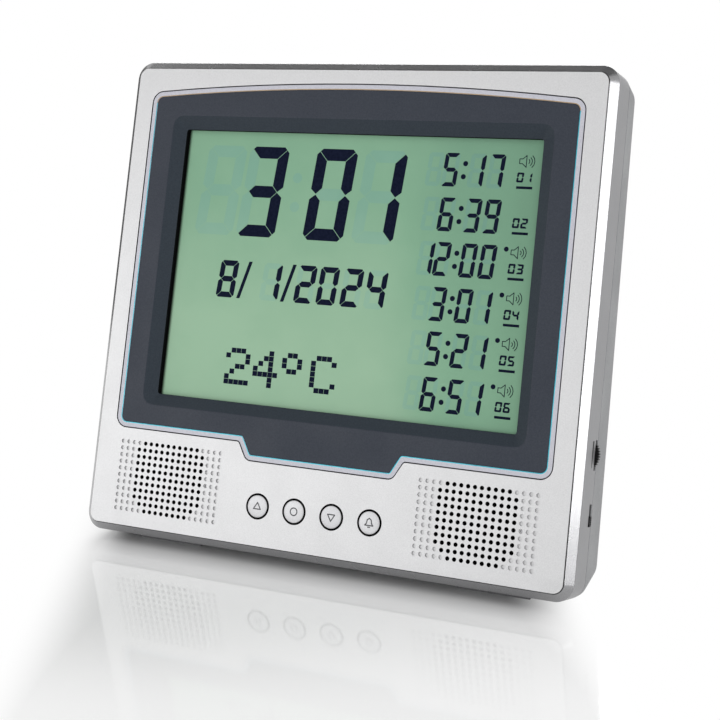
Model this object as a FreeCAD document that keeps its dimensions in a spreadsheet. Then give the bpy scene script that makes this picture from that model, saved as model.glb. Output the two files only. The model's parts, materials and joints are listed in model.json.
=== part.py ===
"""Azan clock: a leaning table and wall clock with an LCD, two loudspeakers and side controls.

Every sub-part is drawn in the clock's own upright frame: X to the right, Y into the case from the
raised face, Z up along the face from the case's sole. The placement of each sub-part then leans the
clock back and sets it on its feet, with the origin under the middle of the case.
"""
import FreeCAD, Part
import math
import os
import re
import Sketcher
from FreeCAD import Vector

os.makedirs("parts", exist_ok=True)
doc = FreeCAD.newDocument("azan_clock")

# ---------------------------------------------------------------- driving dimensions (mm, degrees)
SIZES = {
    # case
    "case_width": 231.4, "case_height": 216.0, "corner_radius": 7.8, "wall": 2.2,
    "inner_bevel": 0.59,
    "face_step": 0.6, "face_ledge": 0.3, "chamfer": 3.2, "face_wall": 2.8,
    "front_depth": 18.8, "back_depth_top": 38.0, "back_depth_bottom": 48.0,
    "side_draft": 6.0, "sole_depth": 24.0, "sole_slope": 15.0, "back_radius": 7.0,
    # stance
    "lean_angle": 13.7, "origin_back": 42.6, "foot_back": 23.0, "foot_thin": 0.6,
    "foot_run": 7.0, "foot_length": 32.0, "foot_side_margin": 37.7, "stand_reach": 50.0,
    # display opening, trim and bezel
    "trim_side_margin": 11.8, "trim_bottom": 47.0, "trim_top_margin": 9.5, "trim_rise": 5.0,
    "tongue_bottom": 39.2, "tongue_top_half": 39.5, "tongue_bottom_half": 35.0,
    "trim_corner": 5.5, "tongue_corner": 4.0, "tongue_bend": 1.5, "trim_gap": 0.15,
    "trim_border": 2.7, "recess": 1.4,
    "bezel_sink": 0.25, "bevel_side_margin": 24.2, "bevel_low": 58.5, "bevel_top_margin": 25.0,
    "view_side_margin": 29.8, "view_low": 63.7, "view_top_margin": 31.0, "bevel_depth": 3.8,
    "bevel_corner": 5.0, "view_corner": 1.2, "bezel_rim": 1.2, "fit_gap": 0.3, "lcd_depth": 6.0,
    # display stack
    "film": 0.2, "glass": 1.1, "glass_lap": 4.0, "front_glass_lap": 5.0, "film_lap": 1.0,
    "lamp_deep": 1.8, "lamp_board": 0.8, "lamp_inset": 0.3, "lamp_pitch": 20.0, "lamp_start": 8.0,
    "lamp_long": 4.0, "lamp_count": 6, "zebra_width": 2.4, "zebra_inset": 0.6, "zebra_play": 0.1,
    "zebra_margin": 10.9, "guide": 3.0, "holder_wall": 3.0, "board_depth": 13.0,
    "board_side_margin": 22.2, "board_low": 46.5, "board_top_margin": 12.5, "board": 1.6,
    # board fixings
    "post_radius": 3.0, "board_post_side": 13.5, "board_post_inset": 4.5,
    "screw_radius": 1.25, "screw_head": 2.4, "screw_head_high": 1.6, "screw_bite": 6.0,
    "screw_gap": 0.03, "pilot_floor": 0.4, "hole_play": 0.2,
    # buttons and their board
    "button_height": 20.5, "button_pitch": 17.8, "button_count": 4, "button_radius": 5.0,
    "button_hole": 5.6, "button_proud": 0.3, "button_flange": 6.6, "button_flange_thick": 1.0,
    "button_play": 0.1, "button_travel": 0.8, "button_back": 5.3, "stem_radius": 1.7,
    "plunger_wall": 0.6, "stem_bore": 1.9, "stem_length": 1.9, "key_board_depth": 10.3,
    "key_board_half": 42.0,
    "key_board_low": 11.0, "key_board_high": 31.0, "key_post_across": 38.0,
    "switch_size": 6.0, "switch_high": 3.5,
    # grilles and speakers
    "grille_side_margin": 42.4, "grille_height": 25.9, "hole_pitch": 3.0, "hole_radius": 0.83,
    "hole_columns": 12, "hole_rows": 11, "cloth": 0.5, "cloth_margin": 0.3,
    "speaker_radius": 18.2, "speaker_rim": 1.2, "basket_radius": 11.5, "basket_depth": 10.0,
    "magnet_radius": 13.0, "magnet_thick": 6.5, "cone_radius": 16.0, "basket_wall": 1.0,
    "coil_radius": 4.6, "coil_gap": 0.7, "coil_dip": 1.5, "cone_lip": 0.9, "cone_depth": 5.0,
    "cone_thick": 0.6, "surround": 1.0, "rim_lap": 0.3, "speaker_post": 1.9,
    "speaker_bite": 3.4,
    # volume wheel and slide switch on the right-hand wall
    "wheel_height": 58.7, "wheel_radius": 8.0, "wheel_proud": 1.6, "wheel_thick": 2.3,
    "wheel_slot": 12.3, "slot_depth": 15.7, "spindle_radius": 1.5, "pot_radius": 4.0,
    "side_board_depth": 12.8, "side_board_thick": 1.4, "side_board_margin": 12.3,
    "side_board_low": 21.0, "side_board_high": 69.5, "side_screw_rise": 3.84,
    "running_gap": 0.05, "outer_skin": 0.88,
    "slide_low": 29.9, "slide_high": 39.0, "slide_slot_depth": 14.9, "slide_body": 7.0,
    "knob_height": 4.0, "knob_thick": 2.6, "knob_gap": 0.3, "knob_proud": 0.3,
    "switch_end": 0.6, "switch_wall": 2.0,
    # case screws
    "post_side_margin": 16.7, "post_low": 22.0, "post_mid": 112.0, "post_top_margin": 20.0,
    "case_post_radius": 3.6, "well_radius": 3.6, "well_wall": 1.5, "case_screw_radius": 1.5,
    "case_screw_head": 3.0, "case_screw_head_high": 2.0,
    "case_screw_length": 12.0, "well_floor": 2.5,
    # battery bay
    "cell_radius": 7.1, "cell_length": 49.3, "cell_nub": 1.0, "nub_radius": 2.75,
    "cell_pitch": 15.2, "bay_height": 137.0, "bay_floor": 22.6, "bay_side_gap": 0.6,
    "bay_end_gap": 4.0, "door_ledge": 1.6, "door_thick": 2.4, "door_gap": 0.3,
    "door_peg": 0.8, "door_peg_long": 1.5, "door_grip_radius": 7.0,
    "contact_thick": 0.5, "contact_dome": 0.6, "contact_size": 11.0,
    # stand leg
    "hinge_height": 96.0, "hinge_sink": 4.0, "pin_radius": 1.5, "barrel_radius": 3.4,
    "leg_width": 56.0, "leg_foot_width": 44.0, "leg_thick": 5.0, "leg_gap": 0.5,
    "stand_recess": 7.9, "leg_window": 22.0, "leg_stile": 8.0, "leg_rail": 12.0,
    "pin_seat": 3.0,
    # wall hanging and power socket
    "keyhole_across": 60.0, "keyhole_drop": 34.0, "keyhole_head": 4.25,
    "keyhole_neck": 2.1, "keyhole_rise": 7.0, "jack_side_margin": 35.7, "jack_height": 62.0,
    "jack_radius": 4.0, "plug_radius": 2.85, "jack_size": 10.0, "jack_long": 12.0, "jack_pin": 1.0,
    "jack_lip": 2.0, "jack_end": 2.0,
    # components on the main board
    "chip_across": 14.0, "chip_height": 96.0, "chip_radius": 9.0, "chip_high": 2.0,
    "crystal_radius": 1.5, "crystal_long": 8.0, "capacitor_radius": 4.0,
    "capacitor_high": 4.2, "capacitor_pitch": 12.0,
}

# Places that keep their distance from a side or the top of the case, and how far a cutter runs past
# the faces that it cuts or a boss sinks into its wall.
DERIVED = {
    "past": "2",
    "sunk": "0.5",
    "trim_half": "(case_width / 2 - trim_side_margin)",
    "trim_crown": "(case_height - trim_top_margin)",
    "bevel_half": "(case_width / 2 - bevel_side_margin)",
    "bevel_high": "(case_height - bevel_top_margin)",
    "view_half": "(case_width / 2 - view_side_margin)",
    "view_high": "(case_height - view_top_margin)",
    "zebra_length": "(2 * (view_half - zebra_margin))",
    "board_half": "(case_width / 2 - board_side_margin)",
    "board_high": "(case_height - board_top_margin)",
    "board_post_across": "(board_half - board_post_side)",
    "grille_across": "(case_width / 2 - grille_side_margin)",
    "side_board_inner": "(case_width / 2 - side_board_margin)",
    "post_across": "(case_width / 2 - post_side_margin)",
    "post_high": "(case_height - post_top_margin)",
    "keyhole_height": "(case_height - keyhole_drop)",
    "jack_across": "(case_width / 2 - jack_side_margin)",
    "foot_place": "(case_width / 2 - foot_side_margin)",
}

sheet = doc.addObject("Spreadsheet::Sheet", "Sizes")
for row, (alias, size) in enumerate(SIZES.items(), start=1):
    sheet.set(f"A{row}", alias)
    sheet.set(f"B{row}", str(size))
    sheet.setAlias(f"B{row}", alias)
doc.recompute()


def formula(text):
    """The expression with derived names worked out and driving dimensions read from the sheet."""
    def read(word):
        name = word.group()
        return formula(DERIVED[name]) if name in DERIVED else "Sizes." * (name in SIZES) + name

    return re.sub(r"[a-z_]+[a-z]", read, str(text))


def value(text):
    """The number that a formula gives now."""
    return float(sheet.evalExpression(formula(text)))


# ------------------------------------------------------------------- derived dimensions (formulas)
BACK_SLOPE = "((back_depth_top - back_depth_bottom) / case_height)"
HALF = "case_width / 2"
SKIRT = "(trim_rise^2 + trim_half^2) / (2 * trim_rise)"
TONGUE_SLANT = "((tongue_top_half - tongue_bottom_half) / (trim_bottom - tongue_bottom))"
FRONT_GLASS = "(lcd_depth + film)"
REAR_GLASS = "(lcd_depth + film + glass)"
REAR_FILM = "(lcd_depth + film + 2 * glass)"
GUIDE = "(lcd_depth + 2 * film + 2 * glass)"
WHEEL_X = "(case_width / 2 + wheel_proud - wheel_radius)"
WHEEL_Y = "(front_depth - fit_gap - wheel_thick)"
POT_Y = "(side_board_depth + side_board_thick)"
INNER_WALL = "(case_width / 2 - wall)"
HINGE_Y = f"(back_depth_bottom + {BACK_SLOPE} * hinge_height - hinge_sink)"
TIP_Y = "(foot_back + stand_reach * cos(lean_angle) - leg_thick / 2 * sin(lean_angle))"
TIP_Z = "(stand_reach * sin(lean_angle) - foot_thin + leg_thick / 2 * cos(lean_angle))"
LEG_REACH = f"sqrt(({TIP_Y} - {HINGE_Y})^2 + (hinge_height - {TIP_Z})^2)"
LEG_ANGLE = f"(atan(({TIP_Y} - {HINGE_Y}) / (hinge_height - {TIP_Z})) / 1deg)"
BAY_LONG = "(cell_length / 2 + bay_end_gap)"
BAY_TALL = "(1.5 * cell_pitch + bay_side_gap)"
DOOR_Z = f"(bay_height - {BAY_TALL} - door_ledge + door_thick / 2)"
DOOR_Y = f"(back_depth_bottom + {BACK_SLOPE} * {DOOR_Z} - door_thick / 2)"
ORIGIN_Z = "(foot_back * sin(lean_angle) + foot_thin * cos(lean_angle))"


def back_plane(height):
    """Depth of the sloping back at a height up the case."""
    return f"(back_depth_bottom + {BACK_SLOPE} * ({height}))"


# Small and hidden round pieces have flats in place of full rounds, and so have the bezel's corners.
FLATS, FEW_FLATS, CORNER_CHORDS = 10, 6, 3

# ------------------------------------------------------------------------------- modelling helpers
def finish(thing, label, x="0", y="0", z="0", turn="0"):
    """Lean a sub-part drawn about the point (x, y, z) back with the clock and stand it on its feet."""
    thing.Label = label
    thing.Placement.Rotation = FreeCAD.Rotation(Vector(1, 0, 0), 0.001)
    thing.setExpression("Placement.Rotation.Angle", formula(f"{turn} - lean_angle"))
    thing.setExpression("Placement.Base.x", formula(x))
    across = f"({y}) * cos(lean_angle) + ({z}) * sin(lean_angle) - origin_back"
    upward = f"({z}) * cos(lean_angle) - ({y}) * sin(lean_angle) + {ORIGIN_Z}"
    thing.setExpression("Placement.Base.y", formula(across))
    thing.setExpression("Placement.Base.z", formula(upward))
    subparts.append(thing)
    return thing


subparts = []


def new_body(name):
    return doc.addObject("PartDesign::Body", name)


def sketch_on(body, plane, lift="0"):
    """An empty sketch on one of the body's planes, lifted along the plane's normal."""
    sketch = body.newObject("Sketcher::SketchObject", f"{body.Name}_sketch")
    support = [f for f in body.Origin.OriginFeatures if f.Role == plane][0]
    sketch.AttachmentSupport = [(support, "")]
    sketch.MapMode = "FlatFace"
    sketch.setExpression("AttachmentOffset.Base.z", formula(lift))
    return sketch


def pin_point(sketch, edge, end, corner):
    """Hold one end of an edge at the two coordinates of a corner."""
    for kind, text in zip(("DistanceX", "DistanceY"), corner):
        held = sketch.addConstraint(Sketcher.Constraint(kind, -1, 1, edge, end, value(text)))
        sketch.setExpression(f"Constraints[{held}]", formula(text))


def add_polygon(sketch, corners, arcs=None):
    """A closed outline of straight edges. Those numbered in arcs bulge outwards with that radius."""
    arcs = arcs or {}
    points = [Vector(value(a), value(b), 0) for a, b in corners]
    first, count = sketch.GeometryCount, len(points)
    for i, start in enumerate(points):
        end = points[(i + 1) % count]
        if i in arcs:
            radius, chord = value(arcs[i]), end - start
            rise = radius - math.sqrt(radius**2 - chord.Length**2 / 4)
            outward = Vector(chord.y, -chord.x, 0) / chord.Length
            sketch.addGeometry(Part.Arc(start, (start + end) / 2 + outward * rise, end))
        else:
            sketch.addGeometry(Part.LineSegment(start, end))
    for i in range(count):
        joined = (first + i, 2, first + (i + 1) % count, 1)
        sketch.addConstraint(Sketcher.Constraint("Coincident", *joined))
        pin_point(sketch, first + i, 1, corners[i])
    for i, radius in arcs.items():
        held = sketch.addConstraint(Sketcher.Constraint("Radius", first + i, value(radius)))
        sketch.setExpression(f"Constraints[{held}]", formula(radius))
    return sketch


def add_circle(sketch, centre, radius):
    """A circle held by its centre and radius."""
    middle = Vector(value(centre[0]), value(centre[1]), 0)
    edge = sketch.addGeometry(Part.Circle(middle, Vector(0, 0, 1), value(radius)))
    pin_point(sketch, edge, 3, centre)
    held = sketch.addConstraint(Sketcher.Constraint("Radius", edge, value(radius)))
    sketch.setExpression(f"Constraints[{held}]", formula(radius))
    return sketch


def rectangle(x0, x1, z0, z1):
    return [(x0, z0), (x1, z0), (x1, z1), (x0, z1)]


def centred(half, z0, z1):
    return rectangle(f"-({half})", half, z0, z1)


def rounded(half, low, high, radius):
    """A rectangle about the middle, each corner turned in CORNER_CHORDS short chords of an arc."""
    step = 90 / CORNER_CHORDS
    corners = []
    for quarter, (side, level, way) in enumerate(((1, low, 1), (1, high, -1), (-1, high, -1),
                                                  (-1, low, 1))):
        for k in range(CORNER_CHORDS + 1):
            angle = f"{(quarter - 1) * 90 + k * step:g}"
            corners.append((f"{side} * ({half} - {radius}) + {radius} * cos({angle})",
                            f"{level} + {way} * {radius} + {radius} * sin({angle})"))
    return corners


def feature(body, kind, sketch, length="0", reverse=False, middle=False, through=False):
    """Pad, cut or turn a sketch, and make sure that it changed the body."""
    before = body.Shape.Volume if body.Tip else 0.0
    made = body.newObject(f"PartDesign::{kind}", f"{body.Name}_{kind.lower()}")
    made.Profile = sketch
    if kind in ("Revolution", "Groove"):
        made.ReferenceAxis = (sketch, ["V_Axis"])
        made.Angle = 360
    else:
        made.Reversed = reverse
        made.Midplane = middle
        if through:
            made.Type = "ThroughAll"
        else:
            made.setExpression("Length", formula(length))
    doc.recompute()
    if abs(body.Shape.Volume - before) < 1e-6:
        raise RuntimeError(f"{made.Name} changes nothing")
    return made


def plate(body, corners, front, back, arcs=None):
    """Add material between two depths behind the outline drawn on the face."""
    sketch = add_polygon(sketch_on(body, "XZ_Plane", f"-({front})"), corners, arcs)
    return feature(body, "Pad", sketch, f"({back}) - ({front})", reverse=True)


def cut_plate(body, corners, front, back, arcs=None):
    """Cut material between two depths behind the outline drawn on the face."""
    sketch = add_polygon(sketch_on(body, "XZ_Plane", f"-({front})"), corners, arcs)
    return feature(body, "Pocket", sketch, f"({back}) - ({front})")


def dress(body, kind, size, chosen):
    """Fillet or chamfer the edges of the body that a test picks out."""
    base = body.Tip
    names = [f"Edge{i}" for i, e in enumerate(base.Shape.Edges, start=1) if chosen(e)]
    made = body.newObject(f"PartDesign::{kind}", f"{body.Name}_{kind.lower()}")
    made.Base = (base, names)
    made.setExpression("Radius" if kind == "Fillet" else "Size", formula(size))
    doc.recompute()
    if not names or not made.Shape.isValid():
        raise RuntimeError(f"{made.Name} failed on {len(names)} edges")
    return made


def corner_edges(corners, near=None):
    """Picks the edges that run into the depth at the given corners of the face."""
    spots = [(value(x), value(z)) for x, z in corners]

    def test(edge):
        a, b = edge.Vertexes[0].Point, edge.Vertexes[-1].Point
        if abs(a.x - b.x) > 1e-4 or abs(a.z - b.z) > 1e-4 or abs(a.y - b.y) < 1e-4:
            return False
        if near is not None and abs((a.y + b.y) / 2 - value(near)) > 1e-3:
            return False
        return any(abs(a.x - x) < 1e-3 and abs(a.z - z) < 1e-3 for x, z in spots)

    return test


def rim_edges(depth, margin):
    """Picks the edges at one depth whose middle lies within a margin of the case's outline."""
    y, near = value(depth), value(margin)

    def test(edge):
        if abs(edge.BoundBox.YMin - y) > 1e-4 or abs(edge.BoundBox.YMax - y) > 1e-4:
            return False
        middle = edge.valueAt((edge.FirstParameter + edge.LastParameter) / 2)
        across = value(HALF) - abs(middle.x)
        return min(across, middle.z, value("case_height") - middle.z) < near

    return test


def box(name, x0, x1, y0, y1, z0, z1):
    """A block between two values on each axis."""
    made = doc.addObject("Part::Box", name)
    for side, low, high in (("Length", x0, x1), ("Width", y0, y1), ("Height", z0, z1)):
        made.setExpression(side, formula(f"({high}) - ({low})"))
    for axis, low in (("x", x0), ("y", y0), ("z", z0)):
        made.setExpression(f"Placement.Base.{axis}", formula(low))
    return made


def rod(name, radius, x, z, front, back, sides=0):
    """A bar that runs into the depth: round, or with a number of flats if one is given."""
    made = doc.addObject("Part::Prism" if sides else "Part::Cylinder", name)
    if sides:
        made.Polygon = sides
    made.setExpression("Circumradius" if sides else "Radius", formula(radius))
    made.setExpression("Height", formula(f"({back}) - ({front})"))
    made.Placement.Rotation = FreeCAD.Rotation(Vector(1, 0, 0), -90)
    for axis, place in (("x", x), ("y", front), ("z", z)):
        made.setExpression(f"Placement.Base.{axis}", formula(place))
    return made


def cross_rod(name, radius, x0, x1, y, z, sides=0):
    """A bar that runs from side to side: round, or with a number of flats."""
    made = rod(name, radius, x0, z, "0", f"({x1}) - ({x0})", sides)
    made.Placement.Rotation = FreeCAD.Rotation(Vector(0, 1, 0), 90)
    made.setExpression("Placement.Base.y", formula(y))
    return made


def ring_points(x, y, z, radius, count, turn=0.0):
    """The corners of a regular polygon that faces along the depth."""
    angles = [2 * math.pi * (k + turn) / count for k in range(count)]
    return [Vector(x + radius * math.cos(a), y, z + radius * math.sin(a)) for a in angles]


def closed_face(points):
    return Part.Face(Part.makePolygon(points + points[:1]))


def funnel(name, x, z, *ends):
    """A flat-sided cone into the depth, between two ends given as radius and depth."""
    wide, slim = [ring_points(value(x), value(depth), value(z), value(radius), FLATS)
                  for radius, depth in ends]
    faces = [closed_face(wide), closed_face(slim)]
    for i in range(FLATS):
        j = (i + 1) % FLATS
        faces.append(closed_face([wide[i], wide[j], slim[j], slim[i]]))
    made = doc.addObject("Part::Feature", name)
    solid = Part.makeSolid(Part.makeShell(faces))
    made.Shape = solid if solid.Volume > 0 else solid.reversed()
    return made


def fuse(name, *shapes):
    made = doc.addObject("Part::MultiFuse", name)
    made.Shapes = list(shapes)
    return made


def cut(name, base, tool):
    made = doc.addObject("Part::Cut", name)
    made.Base, made.Tool = base, tool
    return made


def common(name, base, tool):
    made = doc.addObject("Part::Common", name)
    made.Base, made.Tool = base, tool
    return made


def group(name, shapes):
    """Separate solids that share one sub-part."""
    made = doc.addObject("Part::Compound", name)
    made.Links = list(shapes)
    return made


def slab(name, half, z0, z1, near, far):
    """A block that follows the sloping back, between two distances under its surface."""
    body = new_body(name)
    side = [(f"{back_plane(z)} - ({sink})", z) for z, sink in
            ((z0, near), (z0, far), (z1, far), (z1, near))]
    sketch = add_polygon(sketch_on(body, "YZ_Plane"), side)
    feature(body, "Pad", sketch, f"2 * ({half})", middle=True)
    return body


def block(label, *bounds):
    """A sub-part that is one plain block."""
    return finish(whole(box(f"{label}_block", *bounds)), label)


def whole(thing):
    """Wrap one primitive so that it can be leaned as a sub-part."""
    return group(f"{thing.Name}_piece", [thing])


# -------------------------------------------------------------------------------------- front case
def display_outline(inset):
    """The display outline drawn in by an inset: a tongue below, straight sides and a crowned top."""
    radius = f"({SKIRT} - ({inset}))"
    shift = f"(({inset}) * {TONGUE_SLANT} - ({inset}) * sqrt(1 + {TONGUE_SLANT}^2))"
    side, low = f"(trim_half - ({inset}))", f"(trim_bottom + ({inset}))"
    tongue = f"(tongue_bottom + ({inset}))"
    upper, lower = f"(tongue_top_half + {shift})", f"(tongue_bottom_half + {shift})"
    shoulder = f"(trim_crown - {SKIRT} + sqrt({radius}^2 - {side}^2))"
    corners = [(f"-{side}", low), (f"-{upper}", low), (f"-{lower}", tongue), (lower, tongue),
               (upper, low), (side, low), (side, shoulder), (f"-{side}", shoulder)]
    return corners, {6: radius}


def round_display(body, inset, depth):
    """Round the outer corners of a display outline between the two faces centred on a depth."""
    corners, _ = display_outline(inset)
    outer = [corners[i] for i in (0, 5, 6, 7)]
    dress(body, "Fillet", f"trim_corner - ({inset})", corner_edges(outer, depth))
    dress(body, "Fillet", f"tongue_corner - ({inset})", corner_edges(corners[2:4], depth))
    bends = [corners[1], corners[4]]
    dress(body, "Fillet", "tongue_bend", corner_edges(bends, depth))


def post_places():
    """The six case screws: two columns of three."""
    return [(f"{side} * post_across", level) for side in (-1, 1)
            for level in ("post_low", "post_mid", "post_high")]


def board_places():
    """The four screws of the main board."""
    levels = ("board_low + board_post_inset", "board_high - board_post_inset")
    return [(f"{side} * board_post_across", level) for side in (-1, 1) for level in levels]


def key_places():
    level = "(key_board_low + key_board_high) / 2"
    return [(f"{side} * key_post_across", level) for side in (-1, 1)]


def side_places():
    across = "(side_board_inner + case_width / 2 - wall) / 2"
    return [(across, "side_board_low + side_screw_rise"),
            (across, "(slide_high + wheel_height - wheel_radius) / 2")]


def button_places():
    """The centres of the buttons in a row about the middle of the case."""
    count = int(SIZES["button_count"])
    return [f"({i} - (button_count - 1) / 2) * button_pitch" for i in range(count)]


def speaker_places(side):
    """The two clamp screws beside one speaker, their heads lapping its rim."""
    reach = "(speaker_radius + screw_head - rim_lap)"
    return [(f"{side} * grille_across + {way} * {reach}", "grille_height") for way in (-1, 1)]


def grille_holes():
    """The through holes of both grilles: a block of small holes with its corners left out."""
    pitch, radius = value("hole_pitch"), value("hole_radius")
    columns, rows = int(value("hole_columns")), int(value("hole_rows"))
    trimmed = {rows - 1: 1, 1: 1, 0: 2}
    holes = []
    for side in (-1, 1):
        for row in range(rows):
            spare = trimmed.get(row, 0)
            for column in range(spare, columns - spare):
                x = side * value("grille_across") + (column - (columns - 1) / 2) * pitch
                z = value("grille_height") + (row - (rows - 1) / 2) * pitch
                square = closed_face(ring_points(x, -value("past"), z, radius, 4, 0.5))
                holes.append(square.extrude(Vector(0, value("face_wall + 2 * past"), 0)))
    made = doc.addObject("Part::Feature", "grille_holes")
    made.Shape = Part.makeCompound(holes)
    return made


def front_moulding():
    """The front shell's outer form: raised face, rim, display recess and window."""
    body = new_body("front_moulding")
    inset = "(chamfer + face_ledge)"
    face = centred(f"{HALF} - {inset}", inset, f"case_height - {inset}")
    plate(body, face, "0", "face_step")
    dress(body, "Fillet", "corner_radius - chamfer - face_ledge", corner_edges(face))
    rim = centred(HALF, "0", "case_height")
    plate(body, rim, "face_step", "front_depth")
    dress(body, "Fillet", "corner_radius", corner_edges(rim))
    dress(body, "Chamfer", "chamfer", rim_edges("face_step", "0.9 * chamfer"))
    outline, crown = display_outline("0")
    cut_plate(body, outline, "0", "recess", crown)
    round_display(body, "0", "recess / 2")
    window = "(bezel_rim + fit_gap)"
    opening = centred(f"bevel_half + {window}", f"bevel_low - {window}", f"bevel_high + {window}")
    cut_plate(body, opening, "0", "face_wall + past")
    return body


def front_hollow():
    """The space inside the front shell, with rounded corners and a slanted edge at the face."""
    body = new_body("front_hollow")
    hollow = centred(f"{HALF} - wall", "wall", "case_height - wall")
    plate(body, hollow, "face_wall", "front_depth + past")
    dress(body, "Chamfer", "(corner_radius - wall) * inner_bevel", corner_edges(hollow))
    dress(body, "Chamfer", "chamfer - wall / 2", rim_edges("face_wall", "1.9 * wall"))
    return body


def front_case():
    """The front shell: the moulding with its screw posts, side slots and drilled grilles."""
    root, posts, bores = "(face_wall - sunk)", [], []
    bores += [rod("button_bore", "button_hole", x, "button_height", "-past", "face_wall + past",
                  2 * FLATS)
              for x in button_places()]
    end = "(face_wall + pilot_floor)"
    layouts = ((post_places(), "case_post_radius", "front_depth", "case_screw_radius", end),
               (board_places(), "post_radius", "board_depth", "screw_radius", end),
               (key_places(), "post_radius", "key_board_depth", "screw_radius", end),
               (side_places(), "post_radius", "side_board_depth", "screw_radius", end),
               (speaker_places(-1) + speaker_places(1), "speaker_post",
                "face_wall + cloth + speaker_rim", "screw_radius",
                "face_wall + cloth + speaker_rim - speaker_bite - fit_gap"))
    for places, radius, top, pilot, bottom in layouts:
        for x, z in places:
            posts.append(rod("post", radius, x, z, root, top, FEW_FLATS))
            bores.append(rod("pilot", f"{pilot} + screw_gap", x, z, bottom, top, FEW_FLATS))
    wheel = ("wheel_height - wheel_slot / 2", "wheel_height + wheel_slot / 2")
    bores.append(box("wheel_slot_cut", f"{INNER_WALL} - past", f"{HALF} + past", "slot_depth",
                     "front_depth + past", *wheel))
    relief = rod("wheel_relief_rod", "wheel_radius + fit_gap", WHEEL_X, "wheel_height",
                 "slot_depth", "front_depth + past")
    inside = box("wheel_relief_limit", WHEEL_X, f"{HALF} - outer_skin", "slot_depth",
                 "front_depth + past", "wheel_height - wheel_radius - past",
                 "wheel_height + wheel_radius + past")
    bores.append(common("wheel_relief", relief, inside))
    bores.append(box("slide_slot_cut", f"{INNER_WALL} - past", f"{HALF} + past", "slide_slot_depth",
                     "front_depth + past", "slide_low", "slide_high"))
    shell = cut("front_shell", front_moulding(), front_hollow())
    solid = fuse("front_solid", shell, *posts)
    drilled = cut("front_drilled", solid, group("front_bores", bores))
    return finish(cut("front_case", drilled, grille_holes()), "front_case")


# --------------------------------------------------------------------------------------- back case
def wedge(name, inset, front):
    """The back shell's solid form, drawn in by an inset: drafted sides, a sole that rises, a slope."""
    body = new_body(name)
    slope = "tan(sole_slope)"
    low = f"({back_plane('0')} - ({inset}) + {BACK_SLOPE} * (({inset}) - sole_depth * {slope}))"
    corner_y = f"({low} / (1 - {BACK_SLOPE} * {slope}))"
    corner_z = f"(({inset}) + ({corner_y} - sole_depth) * {slope})"
    top_y = f"({back_plane('case_height')} - ({inset}))"
    top_z = f"(case_height - ({inset}) - ({top_y} - front_depth) * tan(side_draft))"
    flare = f"((front_depth - ({front})) * tan(side_draft))"
    side = [(front, inset), ("sole_depth", inset), (corner_y, corner_z), (top_y, top_z),
            (front, f"case_height - ({inset}) + {flare}")]
    width = f"2 * ({HALF} + {flare})"
    feature(body, "Pad", add_polygon(sketch_on(body, "YZ_Plane"), side), width, middle=True)
    beyond = "(back_depth_bottom + 2 * past)"
    tail = f"({HALF} - ({inset}) - ({beyond} - front_depth) * tan(side_draft))"
    sketch = sketch_on(body, "XY_Plane")
    for sign in ("", "-"):
        outside = f"{sign}({HALF} + past)"
        add_polygon(sketch, [(f"{sign}({HALF} - ({inset}) + {flare})", front), (outside, front),
                             (outside, beyond), (f"{sign}{tail}", beyond)])
    feature(body, "Pocket", sketch, middle=True, through=True)

    def corner(edge):
        a, b = edge.Vertexes[0].Point, edge.Vertexes[-1].Point
        outer = min(abs(a.x), abs(b.x)) > value(tail) - 1
        return outer and a.x * b.x > 0 and abs(a.y - b.y) > 1 and abs(a.z - b.z) < abs(a.y - b.y)

    def rear(edge):
        middle = edge.valueAt((edge.FirstParameter + edge.LastParameter) / 2)
        gap = value(back_plane("0")) + value(BACK_SLOPE) * middle.z - value(inset) - middle.y
        ends = [v.Point for v in edge.Vertexes]
        level = all(abs(value(back_plane("0")) + value(BACK_SLOPE) * p.z - value(inset) - p.y) < 0.02
                    for p in ends)
        return abs(gap) < 0.02 and level

    kind, share = ("Chamfer", "inner_bevel") if inset == "wall" else ("Fillet", "1")
    dress(body, kind, f"(corner_radius - ({inset})) * {share}", corner)
    dress(body, kind, f"(back_radius - ({inset})) * {share}", rear)
    return body


def screw_well(x, z, outer):
    """One screw well: a tube from the back down to a floor at the parting line."""
    corner = f"cos({180 / FEW_FLATS:g})"
    radius = f"(well_radius + well_wall) / {corner}" if outer else "well_radius"
    front = "front_depth" if outer else "front_depth + well_floor"
    sides = FEW_FLATS if outer else FLATS
    return rod("well", radius, x, z, front, "back_depth_bottom + past", sides)


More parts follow.
